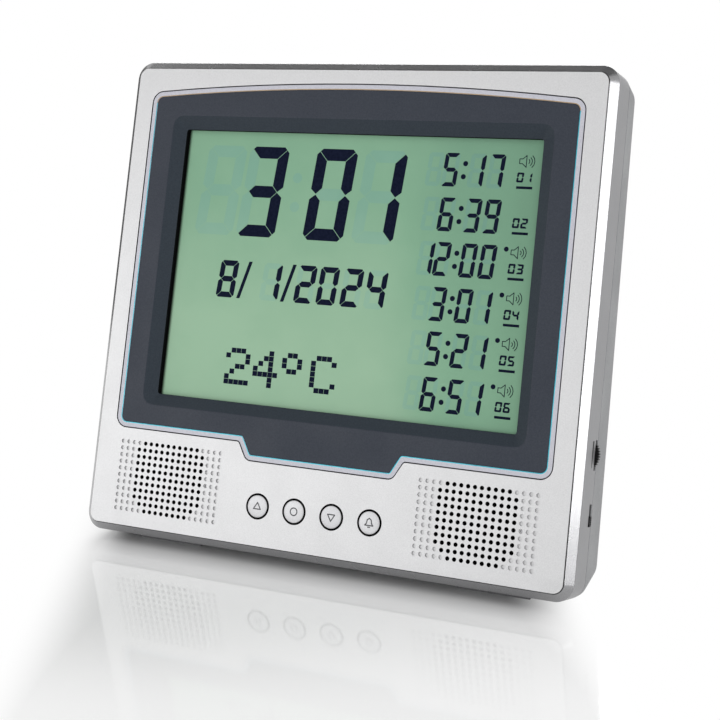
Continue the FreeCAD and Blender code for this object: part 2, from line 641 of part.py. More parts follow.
def back_case():
    """The back shell: a wedge-shaped tub with wells, battery bay, stand recess and keyholes."""
    form = wedge("back_form", "0", "front_depth")
    hollow = wedge("back_hollow", "wall", "front_depth - past")
    shell = cut("back_shell", form, hollow)
    rim = f"({BAY_TALL} + door_ledge + door_gap)"
    rim_half = f"({BAY_LONG} + door_ledge + door_gap)"
    recess_half = "(leg_width / 2 + leg_gap + pin_seat)"
    recess_top = "(hinge_height + barrel_radius + leg_gap)"
    peg_end = f"{rim_half} + door_peg_long + running_gap"
    keyhole_floor = f"{back_plane('keyhole_height')} - wall - 2 * past"
    solids = [screw_well(x, z, True) for x, z in post_places()]
    solids += [
        box("bay_tub", f"-({rim_half} + wall)", f"{rim_half} + wall", "bay_floor - wall",
            "back_depth_bottom + past", f"bay_height - {rim} - wall", f"bay_height + {rim} + wall"),
        slab("stand_tub", f"{recess_half} + wall / 2", "-past", f"{recess_top} + wall",
             "stand_recess + wall", "-past"),
        slab("keyhole_pads", "keyhole_across + 2 * keyhole_head",
             "keyhole_height - 2 * keyhole_head", "keyhole_height + keyhole_rise + keyhole_head",
             "wall + fit_gap", "-past"),
        rod("jack_collar", "jack_size / 2 + wall", "-jack_across", "jack_height",
            f"{back_plane('jack_height')} - wall - jack_lip", "back_depth_bottom + past", FLATS),
    ]
    inside = common("back_inside", fuse("back_blocks", *solids), form)
    cavities = [screw_well(x, z, False) for x, z in post_places()]
    cavities += [rod("screw_pass", "case_screw_radius + hole_play", x, z, "front_depth - past",
                     "front_depth + well_floor + sunk", FEW_FLATS) for x, z in post_places()]
    cavities += [
        box("bay_cut", f"-{BAY_LONG}", BAY_LONG, "bay_floor", "back_depth_bottom + past",
            f"bay_height - {BAY_TALL}", f"bay_height + {BAY_TALL}"),
        slab("door_rebate", rim_half, f"bay_height - {rim}", f"bay_height + {rim}",
             "door_thick + running_gap", "-past"),
        slab("stand_cut", "leg_width / 2 + leg_gap", "-4 * past", recess_top, "stand_recess",
             "-4 * past"),
        cross_rod("pin_bore", "pin_radius + screw_gap", f"-({recess_half})", recess_half,
                  HINGE_Y, "hinge_height"),
        cross_rod("peg_bore", "door_peg + running_gap", f"-({peg_end})", peg_end, DOOR_Y, DOOR_Z),
        rod("jack_hole", "jack_radius", "-jack_across", "jack_height",
            f"{back_plane('jack_height')} - wall - jack_lip - past", "back_depth_bottom + past"),
    ]
    for side in (-1, 1):
        across = f"{side} * keyhole_across"
        cavities.append(rod("keyhole_head_cut", "keyhole_head", across, "keyhole_height",
                            keyhole_floor, "back_depth_bottom + past"))
        cavities.append(rod("keyhole_end_cut", "keyhole_neck", across,
                            "keyhole_height + keyhole_rise", keyhole_floor,
                            "back_depth_bottom + past"))
        cavities.append(box("keyhole_neck_cut", f"{across} - keyhole_neck",
                            f"{across} + keyhole_neck", keyhole_floor, "back_depth_bottom + past",
                            "keyhole_height", "keyhole_height + keyhole_rise"))
    filled = fuse("back_solid", shell, inside)
    tools = fuse("back_cavities", *cavities)
    return finish(cut("back_case", filled, tools), "back_case")


# ----------------------------------------------------------------------------------- display front
def display_trim():
    """The pale border ring that lies in the recess of the face."""
    body = new_body("display_trim")
    outline, crown = display_outline("trim_gap")
    plate(body, outline, "bezel_sink / 2", "recess", crown)
    middle = "(bezel_sink / 2 + recess) / 2"
    round_display(body, "trim_gap", middle)
    inner, crown = display_outline("trim_border")
    cut_plate(body, inner, "0", "recess", crown)
    round_display(body, "trim_border", middle)
    return finish(body, "display_trim")


def display_bezel():
    """The slate bezel: a face plate inside the ring and a funnel down to the display."""
    body = new_body("display_bezel")
    outline, crown = display_outline("trim_border + 0.03")
    plate(body, outline, "bezel_sink", "recess", crown)
    round_display(body, "trim_border + 0.03", "(bezel_sink + recess) / 2")
    collar = centred("bevel_half + bezel_rim", "bevel_low - bezel_rim", "bevel_high + bezel_rim")
    plate(body, collar, "recess", "lcd_depth")
    view = rounded("view_half", "view_low", "view_high", "view_corner")
    bevel = rounded("bevel_half", "bevel_low", "bevel_high", "bevel_corner")
    mouth = add_polygon(sketch_on(body, "XZ_Plane", "-(bezel_sink)"), bevel)
    throat = add_polygon(sketch_on(body, "XZ_Plane", "-(bevel_depth)"), view)
    funnel = body.newObject("PartDesign::SubtractiveLoft", "bezel_funnel")
    funnel.Profile = mouth
    funnel.Sections = [throat]
    doc.recompute()
    cut_plate(body, view, "bevel_depth", "lcd_depth")
    return finish(body, "display_bezel")


# ----------------------------------------------------------------------------------- display stack
def sheet_block(label, half, low, high, front, thick):
    """A flat layer of the display between two heights, at a depth behind the face."""
    return block(label, f"-({half})", half, front, f"({front}) + ({thick})", low, high)


def display_stack():
    """Polarisers, the two glasses, the light guide, its lamps, the contact strips and the tray."""
    lap, front_lap = "glass_lap", "front_glass_lap"
    half = f"(view_half + {lap})"
    low, high = "(view_low - film_lap)", "(view_high + film_lap)"
    sheet_block("front_polariser", "view_half + film_lap", low, high, "lcd_depth", "film")
    sheet_block("lcd_front_glass", half, f"view_low - {front_lap}", f"view_high + {front_lap}",
                FRONT_GLASS, "glass")
    sheet_block("lcd_rear_glass", half, low, high, REAR_GLASS, "glass")
    sheet_block("rear_polariser", "view_half + film_lap", low, high, REAR_FILM, "film")
    sheet_block("light_guide", half, low, high, GUIDE, "guide")
    lamps = []
    for i in range(int(SIZES["lamp_count"])):
        start = f"{low} + {i} * lamp_pitch + lamp_start"
        lamps.append(box("lamp", f"-({half} + lamp_deep)", f"-({half})", f"{GUIDE} + lamp_inset",
                         f"{GUIDE} + guide - lamp_inset", start, f"{start} + lamp_long"))
    strip = box("lamp_strip", f"-({half} + lamp_deep + lamp_board)", f"-({half} + lamp_deep)", GUIDE,
                f"{GUIDE} + guide", low, high)
    finish(fuse("backlight_strip", strip, *lamps), "backlight_strip")
    zebra_starts = (f"view_low - {front_lap} + zebra_inset",
                    f"view_high + {front_lap} - zebra_inset - zebra_width")
    for word, start in zip(("lower", "upper"), zebra_starts):
        block(f"zebra_strip_{word}", "-zebra_length / 2", "zebra_length / 2", REAR_GLASS,
              "board_depth", start, f"{start} + zebra_width")
    body = new_body("lcd_holder")
    outer = centred(f"{half} + 2 * fit_gap + holder_wall",
                    f"view_low - {front_lap} - fit_gap - holder_wall",
                    f"view_high + {front_lap} + fit_gap + holder_wall")
    plate(body, outer, "lcd_depth", "board_depth")
    well = centred(f"{half} + fit_gap", f"view_low - {front_lap} - hole_play",
                   f"view_high + {front_lap} + hole_play")
    cut_plate(body, well, "lcd_depth", REAR_GLASS)
    foot, top = f"{low} - hole_play", f"{high} + hole_play"
    cut_plate(body, centred(f"{half} + fit_gap", foot, top), REAR_GLASS, f"{GUIDE} + guide")
    lamp_side = f"-({half} + lamp_deep + lamp_board + hole_play)"
    cut_plate(body, rectangle(lamp_side, f"-({half})", foot, top), GUIDE, f"{GUIDE} + guide")
    for start in zebra_starts:
        slot = centred("zebra_length / 2 + zebra_play", f"{start} - zebra_play",
                       f"{start} + zebra_width + zebra_play")
        cut_plate(body, slot, REAR_GLASS, "board_depth")
    finish(body, "lcd_holder")


# ------------------------------------------------------------------------------ boards and sockets
def screw(x, z, top, bite="screw_bite"):
    """A small screw whose head rests on a face at the given depth."""
    head = rod("screw_head_rod", "screw_head", x, z, top, f"({top}) + screw_head_high", FEW_FLATS)
    shank = rod("screw_shank", "screw_radius", x, z, f"({top}) - {bite}", top, FEW_FLATS)
    return fuse("board_screw", head, shank)


def drilled_board(label, half_box, places, top):
    """A board with a clearance hole at each screw."""
    holes = [rod("board_hole", "screw_radius + hole_play", x, z, f"({top}) - 2 * past",
                 f"({top}) + past", FEW_FLATS) for x, z in places]
    return finish(cut(label, box(f"{label}_blank", *half_box), group(f"{label}_holes", holes)), label)


def boards():
    """The main, key and side boards with their screws and parts."""
    rear = "(board_depth + board)"
    drilled_board("main_board", ("-board_half", "board_half", "board_depth", rear, "board_low",
                                 "board_high"), board_places(), rear)
    key_rear = "(key_board_depth + board)"
    drilled_board("key_board", ("-key_board_half", "key_board_half", "key_board_depth", key_rear,
                                "key_board_low", "key_board_high"), key_places(), key_rear)
    drilled_board("side_board", ("side_board_inner", f"{INNER_WALL} - fit_gap", "side_board_depth", POT_Y,
                                 "side_board_low", "side_board_high"), side_places(), POT_Y)
    screws = [screw(x, z, rear) for x, z in board_places()]
    screws += [screw(x, z, key_rear) for x, z in key_places()]
    screws += [screw(x, z, POT_Y) for x, z in side_places()]
    finish(group("board_screws", screws), "board_screws")
    blob = rod("chip_blob", "chip_radius", "chip_across", "chip_height", rear, f"{rear} + chip_high",
               FLATS)
    finish(whole(blob), "controller_chip")
    can = cross_rod("crystal_can", "crystal_radius", "-chip_across - crystal_long / 2",
                    "-chip_across + crystal_long / 2", f"{rear} + crystal_radius", "chip_height",
                    FEW_FLATS)
    finish(whole(can), "quartz_crystal")
    cans = [rod("capacitor", "capacitor_radius", f"{i} * capacitor_pitch - board_half / 2",
                "chip_height", rear, f"{rear} + capacitor_high", FLATS) for i in (-1, 0, 1)]
    finish(group("capacitors", cans), "capacitors")


def power_jack():
    """The socket for a plug-in supply: a block with a round throat and a centre pin."""
    mouth = f"({back_plane('jack_height')} - wall - jack_lip)"
    x, z = "-jack_across", "jack_height"
    case = box("jack_case", f"{x} - jack_size / 2", f"{x} + jack_size / 2",
               f"{mouth} - jack_long", mouth, f"{z} - jack_size / 2", f"{z} + jack_size / 2")
    throat = rod("jack_throat", "plug_radius", x, z, f"{mouth} - jack_long + jack_end",
                 f"{mouth} + past", FLATS)
    pin = rod("jack_pin_rod", "jack_pin", x, z, f"{mouth} - jack_long + jack_end / 2", mouth,
              FEW_FLATS)
    finish(fuse("power_jack", cut("jack_body", case, throat), pin), "power_jack")


# ----------------------------------------------------------------------------------------- buttons
def buttons():
    """Four caps with their flanges and stems, each above its switch on the key board."""
    names = ("button_up", "button_set", "button_down", "button_sound")
    behind = "(face_wall + button_play)"
    switches = []
    face = "(key_board_depth - switch_high)"
    for name, x in zip(names, button_places()):
        cap = rod("cap", "button_radius", x, "button_height", "-button_proud", behind, 2 * FLATS)
        flange = rod("flange", "button_flange", x, "button_height", behind,
                     f"{behind} + button_flange_thick", FLATS)
        plunger = rod("plunger", "stem_radius + plunger_wall", x, "button_height",
                      f"{behind} + button_flange_thick", "button_back", FEW_FLATS)
        shape = fuse(name, cap, flange, plunger)
        finish(shape, name)
        stem = rod(f"{name}_stem_rod", "stem_radius", x, "button_height", "button_back",
                   "button_back + stem_length", FEW_FLATS)
        finish(whole(stem), f"{name}_stem")
        housing = box("switch_case", f"{x} - switch_size / 2", f"{x} + switch_size / 2", face,
                      "key_board_depth", "button_height - switch_size / 2",
                      "button_height + switch_size / 2")
        bore = rod("switch_bore", "stem_bore", x, "button_height", f"{face} - past",
                   "button_back + stem_length + button_travel + fit_gap", FEW_FLATS)
        switches.append(cut("key_switch", housing, bore))
    finish(group("key_switches", switches), "key_switches")


# ---------------------------------------------------------------------------------------- speakers
def speakers():
    """Dust cloth, basket, cone and magnet behind each grille, with their clamp screws."""
    rim = "(face_wall + cloth)"
    seat = f"({rim} + speaker_rim)"
    neck = f"({rim} + basket_depth)"
    lip = f"({rim} + cone_lip)"
    apex = f"({lip} + cone_depth)"
    reach = "((hole_columns - 1) / 2 * hole_pitch + hole_radius + cloth_margin)"
    rise = "((hole_rows - 1) / 2 * hole_pitch + hole_radius + cloth_margin)"
    clamps = []
    for side, word in ((-1, "left"), (1, "right")):
        x, z = f"({side} * grille_across)", "grille_height"
        cloth = box("cloth_sheet", f"{x} - {reach}", f"{x} + {reach}", "face_wall", rim,
                    f"{z} - {rise}", f"{z} + {rise}")
        finish(whole(cloth), f"grille_cloth_{word}")
        flange = rod("basket_rim", "speaker_radius", x, z, rim, seat, FLATS)
        basket = funnel("basket_wall", x, z, ("cone_radius + surround + fit_gap", rim),
                        ("basket_radius", neck))
        inside = funnel("basket_hollow", x, z, ("cone_radius", lip),
                        ("basket_radius - basket_wall", f"{neck} - basket_wall"))
        mouth = rod("basket_mouth", "cone_radius + surround + running_gap", x, z, f"{rim} - past",
                    lip, FLATS)
        hole = rod("basket_hole", "coil_radius + coil_gap", x, z, f"{neck} - past",
                   f"{neck} + past", FLATS)
        frame = cut("basket", fuse("basket_solid", flange, basket),
                    fuse("basket_tools", inside, mouth, hole))
        finish(frame, f"speaker_{word}_frame")
        skin = funnel("cone_skin", x, z, ("cone_radius", lip), ("coil_radius", apex))
        scoop = funnel("cone_scoop", x, z, ("cone_radius", f"{lip} - cone_thick"),
                       ("coil_radius", f"{apex} - cone_thick"))
        coil = rod("coil_tube", "coil_radius", x, z, apex, f"{neck} + coil_dip", FLATS)
        core = rod("coil_core", "coil_radius - cone_thick", x, z, apex, f"{neck} + coil_dip + past",
                   FLATS)
        ring = rod("surround_ring", "cone_radius + surround", x, z, f"{lip} - cone_thick", lip, FLATS)
        throat = rod("surround_throat", "cone_radius - surround", x, z, f"{lip} - past", lip, FLATS)
        cone = fuse("cone", cut("cone_shell", skin, scoop), cut("coil", coil, core),
                    cut("roll", ring, throat))
        finish(cone, f"speaker_{word}_cone")
        yoke = rod("yoke", "magnet_radius", x, z, neck, f"{neck} + magnet_thick", FLATS)
        slot = rod("yoke_slot", "coil_radius + coil_gap", x, z, f"{neck} - past",
                   f"{neck} + coil_dip + coil_gap", FLATS)
        pole = rod("pole", "coil_radius - cone_thick - coil_gap", x, z, f"{neck} - coil_gap",
                   f"{neck} + coil_dip + coil_gap", FLATS)
        finish(fuse("magnet", cut("yoke_cup", yoke, slot), pole), f"speaker_{word}_magnet")
        clamps += [screw(x, z, seat, "speaker_bite") for x, z in speaker_places(side)]
    finish(group("speaker_clamps", clamps), "speaker_screws")


# ----------------------------------------------------------------------------------- side controls
def side_controls():
    """The thumb-wheel on its potentiometer and the slide switch with its knob."""
    back = f"({WHEEL_Y} + wheel_thick)"
    disc = rod("wheel_disc", "wheel_radius", WHEEL_X, "wheel_height", WHEEL_Y, back, 2 * FLATS)
    axle = rod("wheel_axle", "spindle_radius", WHEEL_X, "wheel_height",
               f"{POT_Y} + fit_gap + 2 * running_gap", WHEEL_Y)
    finish(fuse("wheel", disc, axle), "volume_wheel")
    can = rod("pot_can", "pot_radius", WHEEL_X, "wheel_height", POT_Y, f"{WHEEL_Y} - fit_gap", FLATS)
    bore = rod("pot_bore", "spindle_radius + running_gap", WHEEL_X, "wheel_height",
               f"{POT_Y} + fit_gap", back)
    finish(cut("volume_pot", can, bore), "volume_pot")
    inner, outer = f"({INNER_WALL} - fit_gap - slide_body)", f"({INNER_WALL} - fit_gap)"
    mid = "((slide_slot_depth + front_depth) / 2)"
    near, far = f"({mid} - knob_thick / 2)", f"({mid} + knob_thick / 2)"
    case = box("switch_shell", inner, outer, POT_Y, "front_depth - hole_play",
               "slide_low - switch_end", "slide_high + switch_end")
    track = box("switch_track", f"{inner} + switch_wall", f"{outer} + past", f"{near} - knob_gap",
                f"{far} + knob_gap", "slide_low", "slide_high")
    finish(cut("slide_switch", case, track), "slide_switch")
    start = "(slide_low + knob_gap)"
    knob = box("knob", f"{inner} + switch_wall + knob_gap", f"{HALF} + knob_proud", near, far, start,
               f"{start} + knob_height")
    finish(whole(knob), "slide_knob")


# ----------------------------------------------------------------------------------------- battery
def batteries():
    """Three cells side by side, their contacts, and the door over the bay."""
    depth = "(bay_floor + cell_radius + 2 * running_gap)"
    plus, minus = [], []
    for i in range(3):
        way = 1 if i % 2 == 0 else -1
        level = f"(bay_height + ({i} - 1) * cell_pitch)"
        inset = f"({BAY_LONG} - contact_thick)"
        nub_face = f"({inset} - contact_dome)"
        tip = f"({nub_face} - cell_nub)"
        if way > 0:
            can = cross_rod("cell_can", "cell_radius", f"{tip} - cell_length", tip, depth, level,
                            FLATS)
            nub = cross_rod("cell_nub_rod", "nub_radius", tip, nub_face, depth, level, FEW_FLATS)
            plates = ((plus, inset, BAY_LONG), (minus, f"-{BAY_LONG}", f"-{inset}"))
            pip = cross_rod("pip", "nub_radius", nub_face, inset, depth, level, FEW_FLATS)
            leaf = cross_rod("leaf", "nub_radius", f"-{inset}", f"{tip} - cell_length", depth, level,
                             FEW_FLATS)
        else:
            can = cross_rod("cell_can", "cell_radius", f"-{tip}", f"cell_length - {tip}", depth,
                            level, FLATS)
            nub = cross_rod("cell_nub_rod", "nub_radius", f"-{nub_face}", f"-{tip}", depth, level,
                            FEW_FLATS)
            plates = ((plus, f"-{BAY_LONG}", f"-{inset}"), (minus, inset, BAY_LONG))
            pip = cross_rod("pip", "nub_radius", f"-{inset}", f"-{nub_face}", depth, level,
                            FEW_FLATS)
            leaf = cross_rod("leaf", "nub_radius", f"cell_length - {tip}", inset, depth, level,
                             FEW_FLATS)
        finish(fuse(f"battery_{i + 1}", can, nub), f"battery_{i + 1}")
        for (kept, x0, x1), extra in zip(plates, (pip, leaf)):
            plate_box = box("contact_plate", x0, x1, f"{depth} - contact_size / 2",
                            f"{depth} + contact_size / 2", f"{level} - contact_size / 2",
                            f"{level} + contact_size / 2")
            kept.append(fuse("contact", plate_box, extra))
    finish(group("contacts_plus", plus), "contacts_plus")
    finish(group("contacts_minus", minus), "contacts_minus")


def battery_door():
    """The door: a plate in its rebate, rounded along the lower edge that turns on two pegs."""
    wide = f"({BAY_LONG} + door_ledge)"
    leaf = slab("door_plate", wide, DOOR_Z, f"bay_height + {BAY_TALL} + door_ledge",
                "door_thick", "0")
    edge = cross_rod("door_edge", "door_thick / 2", f"-{wide}", wide, DOOR_Y, DOOR_Z, FLATS)
    reach = f"({wide} + door_gap + door_peg_long)"
    pegs = cross_rod("door_pegs", "door_peg", f"-{reach}", reach, DOOR_Y, DOOR_Z)
    grip = rod("door_grip", "door_grip_radius", "0", f"bay_height + {BAY_TALL} + door_ledge",
               f"{back_plane('bay_height + 1.5 * cell_pitch')} - door_thick / 2",
               "back_depth_bottom", 2 * FLATS)
    finish(cut("battery_door", fuse("door_solid", leaf, edge, pegs), grip), "battery_door")


# ------------------------------------------------------------------------------------ stand and feet
def stand():
    """The fold-out leg about its hinge pin, hung in the recess of the back."""
    body = new_body("stand_leg")
    half_thick = "leg_thick / 2"
    sketch = sketch_on(body, "XZ_Plane", f"-({half_thick})")
    taper = [("-leg_foot_width / 2", f"-{LEG_REACH}"), ("leg_foot_width / 2", f"-{LEG_REACH}"),
             ("leg_width / 2", "0"), ("-leg_width / 2", "0")]
    feature(body, "Pad", add_polygon(sketch, taper), "leg_thick")
    ends = sketch_on(body, "YZ_Plane")
    add_circle(ends, ("0", f"-{LEG_REACH}"), half_thick)
    feature(body, "Pad", ends, "leg_foot_width", middle=True)
    barrel = add_circle(sketch_on(body, "YZ_Plane"), ("0", "0"), "barrel_radius")
    feature(body, "Pad", barrel, "leg_width", middle=True)
    window = centred("leg_foot_width / 2 - leg_stile", f"-{LEG_REACH} + leg_rail", "-leg_window")
    cut_plate(body, window, "-leg_thick", "leg_thick")
    bore = add_circle(sketch_on(body, "YZ_Plane"), ("0", "0"), "pin_radius + running_gap")
    feature(body, "Pocket", bore, middle=True, through=True)
    finish(body, "stand_leg", "0", HINGE_Y, "hinge_height", LEG_ANGLE)
    reach = "(leg_width / 2 + leg_gap + pin_seat)"
    pin = cross_rod("pin_rod", "pin_radius", f"-{reach}", reach, HINGE_Y, "hinge_height")
    finish(whole(pin), "stand_pin")


def feet():
    """Two rubber strips on the sole, ground level with the surface that the clock stands on."""
    strips = []
    front = "(foot_back - foot_run)"
    thick = "(foot_thin + foot_run * tan(lean_angle))"
    for side in (-1, 1):
        body = new_body("foot_strip")
        profile = [(front, "0"), (front, f"-{thick}"), ("foot_back", "-foot_thin"),
                   ("foot_back", "0")]
        sketch = sketch_on(body, "YZ_Plane", f"{side} * foot_place")
        feature(body, "Pad", add_polygon(sketch, profile), "foot_length", middle=True)
        strips.append(body)
    finish(group("rubber_feet", strips), "rubber_feet")


def case_screws():
    """Six long screws from the wells into the front posts."""
    screws = []
    seat = "(front_depth + well_floor)"
    for x, z in post_places():
        head = rod("case_screw_head_rod", "case_screw_head", x, z, seat,
                   f"{seat} + case_screw_head_high", FEW_FLATS)
        shank = rod("case_screw_shank", "case_screw_radius", x, z, f"{seat} - case_screw_length",
                    seat, FEW_FLATS)
        screws.append(fuse("case_screw", head, shank))
    finish(group("case_screws", screws), "case_screws")


front_case()
back_case()
display_trim()
display_bezel()
display_stack()
boards()
power_jack()
buttons()
speakers()
side_controls()
batteries()
battery_door()
stand()
feet()
case_screws()

# ------------------------------------------------------------------------------- check and export
doc.recompute()
failed = [o.Name for o in doc.Objects if {"Invalid", "Error"} & set(o.State)]
failed += [p.Label for p in subparts if p.Shape.isNull() or not p.Shape.isValid()]
if failed:
    raise RuntimeError(f"not built: {failed}")
for piece in subparts:
    piece.Shape.exportStep(f"parts/{piece.Label}.step")
print(len(subparts), "sub-parts")
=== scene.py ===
import json
import math
import bmesh
import bpy
from mathutils import Matrix, Vector


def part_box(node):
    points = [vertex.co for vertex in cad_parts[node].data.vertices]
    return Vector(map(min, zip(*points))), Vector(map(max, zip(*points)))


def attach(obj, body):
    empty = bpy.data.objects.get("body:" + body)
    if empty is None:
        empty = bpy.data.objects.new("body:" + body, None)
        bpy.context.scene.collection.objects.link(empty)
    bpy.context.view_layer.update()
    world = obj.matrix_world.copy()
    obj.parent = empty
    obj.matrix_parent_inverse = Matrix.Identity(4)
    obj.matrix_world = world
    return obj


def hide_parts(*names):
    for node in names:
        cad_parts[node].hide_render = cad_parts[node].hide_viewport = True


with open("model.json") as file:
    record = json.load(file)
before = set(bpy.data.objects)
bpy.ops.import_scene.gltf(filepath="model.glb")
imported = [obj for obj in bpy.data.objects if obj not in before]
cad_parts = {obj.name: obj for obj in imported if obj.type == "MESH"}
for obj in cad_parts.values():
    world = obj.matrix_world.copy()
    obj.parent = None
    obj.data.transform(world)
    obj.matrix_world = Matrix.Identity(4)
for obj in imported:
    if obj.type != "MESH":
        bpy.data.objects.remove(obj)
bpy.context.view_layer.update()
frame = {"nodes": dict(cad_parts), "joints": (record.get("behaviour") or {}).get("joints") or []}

# ---------------------------------------------------------------------------------------- stance
# The clock leans back on its sole and its fold-out leg. Pieces are drawn upright in millimetres,
# x to the right, y into the case from the raised face, z up from the sole, and then leaned back.
press = next(joint for joint in frame["joints"] if joint["name"] == "press_up")
LEAN = math.atan2(-press["axis"][2], press["axis"][1])
SOLE_AHEAD, SOLE_UP = 42.6, 6.03
MM = 0.001
TO_TABLE = (Matrix.Scale(MM, 4) @ Matrix.Translation((0, -SOLE_AHEAD, SOLE_UP))
            @ Matrix.Rotation(-LEAN, 4, "X"))

# ---------------------------------------------------------------------------------------- camera
# The camera stands to the clock's right, a little above its middle, and looks across at it. Its
# place is in metres, and it dips and turns by degrees.
CAMERA_PLACE, CAMERA_DIP, CAMERA_TURN = (0.2909, -0.5964, 0.2228), 7.94, 25.67
SENSOR_WIDTH, FOCAL_LENGTH, LENS_SHIFT, NEAREST = 36, 76.68, -0.139, 0.01
camera = bpy.data.objects.new("camera", bpy.data.cameras.new("camera"))
bpy.context.scene.collection.objects.link(camera)
bpy.context.scene.camera = camera
camera.location = CAMERA_PLACE
camera.rotation_euler = (math.radians(90 - CAMERA_DIP), 0, math.radians(CAMERA_TURN))
camera.data.sensor_width, camera.data.lens = SENSOR_WIDTH, FOCAL_LENGTH
camera.data.shift_y, camera.data.clip_start = LENS_SHIFT, NEAREST
bpy.context.scene.view_settings.view_transform = "Standard"


# ------------------------------------------------------------------------------- table and light
# A glossy white table top in a white room, with a soft lamp to the left, a narrow one to the right
# and one behind. A grey card over the clock and a grey flag to its left darken its bevels.
def start_material(name):
    """A material with its node tree and its shader."""
    material = bpy.data.materials.new(name)
    material.use_nodes = True
    tree = material.node_tree
    return material, tree, tree.nodes["Principled BSDF"]


def add_node(tree, kind, **settings):
    """A shader node, with inputs set by name and the rest as attributes."""
    made = tree.nodes.new("ShaderNode" + kind)
    for key, value in settings.items():
        if key in made.inputs:
            made.inputs[key].default_value = value
        else:
            setattr(made, key, value)
    return made


def ramp_between(tree, source, low, high, first=0.0, last=1.0):
    """Map a value smoothly from one range to another."""
    made = add_node(tree, "MapRange", interpolation_type="SMOOTHSTEP")
    for name, value in zip(("From Min", "From Max", "To Min", "To Max"), (low, high, first, last)):
        made.inputs[name].default_value = value
    tree.links.new(source, made.inputs["Value"])
    return made.outputs["Result"]


def combined(tree, operation, *sources):
    """Values put through one step of arithmetic."""
    made = add_node(tree, "Math", operation=operation)
    for source, target in zip(sources, made.inputs):
        tree.links.new(source, target)
    return made.outputs[0]


def axes_of(tree, source):
    """The x, y and z of a place."""
    made = add_node(tree, "SeparateXYZ")
    tree.links.new(source, made.inputs["Vector"])
    return made.outputs


def noise_on(tree, place, scale, detail=2.0):
    """A noise that lies still on its piece."""
    made = add_node(tree, "TexNoise", Scale=scale, Detail=detail)
    tree.links.new(place, made.inputs["Vector"])
    return made.outputs["Fac"]


def mixed(tree, share, first, second):
    """Two shaders mixed by a share."""
    made = add_node(tree, "MixShader")
    for source, target in zip((share, first, second), made.inputs):
        tree.links.new(source, target)
    return made.outputs[0]


def seen_directly(tree):
    """One for camera, glossy and transmission rays, zero for the rest."""
    path = add_node(tree, "LightPath").outputs
    sharp = combined(tree, "MAXIMUM", path["Is Camera Ray"], path["Is Glossy Ray"])
    return combined(tree, "MAXIMUM", sharp, path["Is Transmission Ray"])


def ahead_of_sole(tree, source):
    """How far ahead of the clock's sole a place on the table lies, in metres."""
    made = add_node(tree, "Math", operation="MULTIPLY_ADD")
    made.inputs[1].default_value, made.inputs[2].default_value = -1.0, -SOLE_AHEAD * MM
    tree.links.new(source, made.inputs[0])
    return made.outputs[0]


def stage_sheet(name, size, place, material):
    """A flat sheet of the stage, level with the table."""
    sheet = bmesh.new()
    bmesh.ops.create_grid(sheet, x_segments=1, y_segments=1, size=0.5)
    bmesh.ops.scale(sheet, vec=(*size, 1), verts=sheet.verts)
    bmesh.ops.translate(sheet, vec=place, verts=sheet.verts)
    made = bpy.data.objects.new(name, bpy.data.meshes.new(name))
    sheet.to_mesh(made.data)
    sheet.free()
    bpy.context.scene.collection.objects.link(made)
    made.data.materials.append(material)
    return made


ROOM_LIGHT = 0.62
world = bpy.data.worlds.new("room")
bpy.context.scene.world = world
world.use_nodes = True
room = world.node_tree.nodes["Background"]
room.inputs["Color"].default_value = (1, 1, 1, 1)
level = ramp_between(world.node_tree, seen_directly(world.node_tree), 0, 1, ROOM_LIGHT, 1.0)
world.node_tree.links.new(level, room.inputs["Strength"])

# Ahead of the clock and behind it the table's sheen dies away. Outside a strip that runs forward from
# the sole, and far from the clock, the table is painted white over its shading, so the clock's shade
# and reflection show only in the strip; a painted glow lifts it further except under the clock and
# just ahead of the sole. These are in metres.
TABLE_SIZE, TABLE_SHADE, TABLE_GLOSS, TABLE_ROUGH = (8.0, 8.0), 0.86, 2.1, (0.05, 0.07)
TABLE_GRAIN, NOISE_SPAN = 140.0, (0.3, 0.7)
SHEEN_FADE, SHEEN_LOSS, REAR_FADE = (0.02, 0.22), 0.85, (0.05, 0.09)
STRIP_TURN, STRIP_SIDE, STRIP_AHEAD, STRIP_PALING = 27.4, (0.08, 0.112), (0.03, 0.14), 0.55
WHITE_OUT, CONTACT_SHADOW_FADE, BESIDE_FADE, TABLE_GLOW = (0.15, 0.3), (-0.012, 0.014), (0.1, 0.125), 0.2
material, tree, glossy = start_material("white_table")
glossy.inputs["IOR"].default_value = TABLE_GLOSS
matt = add_node(tree, "BsdfDiffuse")
for target in (glossy.inputs["Base Color"], matt.inputs["Color"]):
    target.default_value = (TABLE_SHADE, TABLE_SHADE, TABLE_SHADE, 1)
place = add_node(tree, "TexCoord").outputs["Object"]
tree.links.new(ramp_between(tree, noise_on(tree, place, TABLE_GRAIN), *NOISE_SPAN, *TABLE_ROUGH),
               glossy.inputs["Roughness"])
spot = axes_of(tree, place)
ahead, beside = ahead_of_sole(tree, spot["Y"]), combined(tree, "ABSOLUTE", spot["X"])
matting = combined(tree, "MAXIMUM", ramp_between(tree, ahead, *SHEEN_FADE, 0.0, SHEEN_LOSS),
                   ramp_between(tree, spot["Y"], *REAR_FADE))
dulled = mixed(tree, matting, glossy.outputs[0], matt.outputs[0])

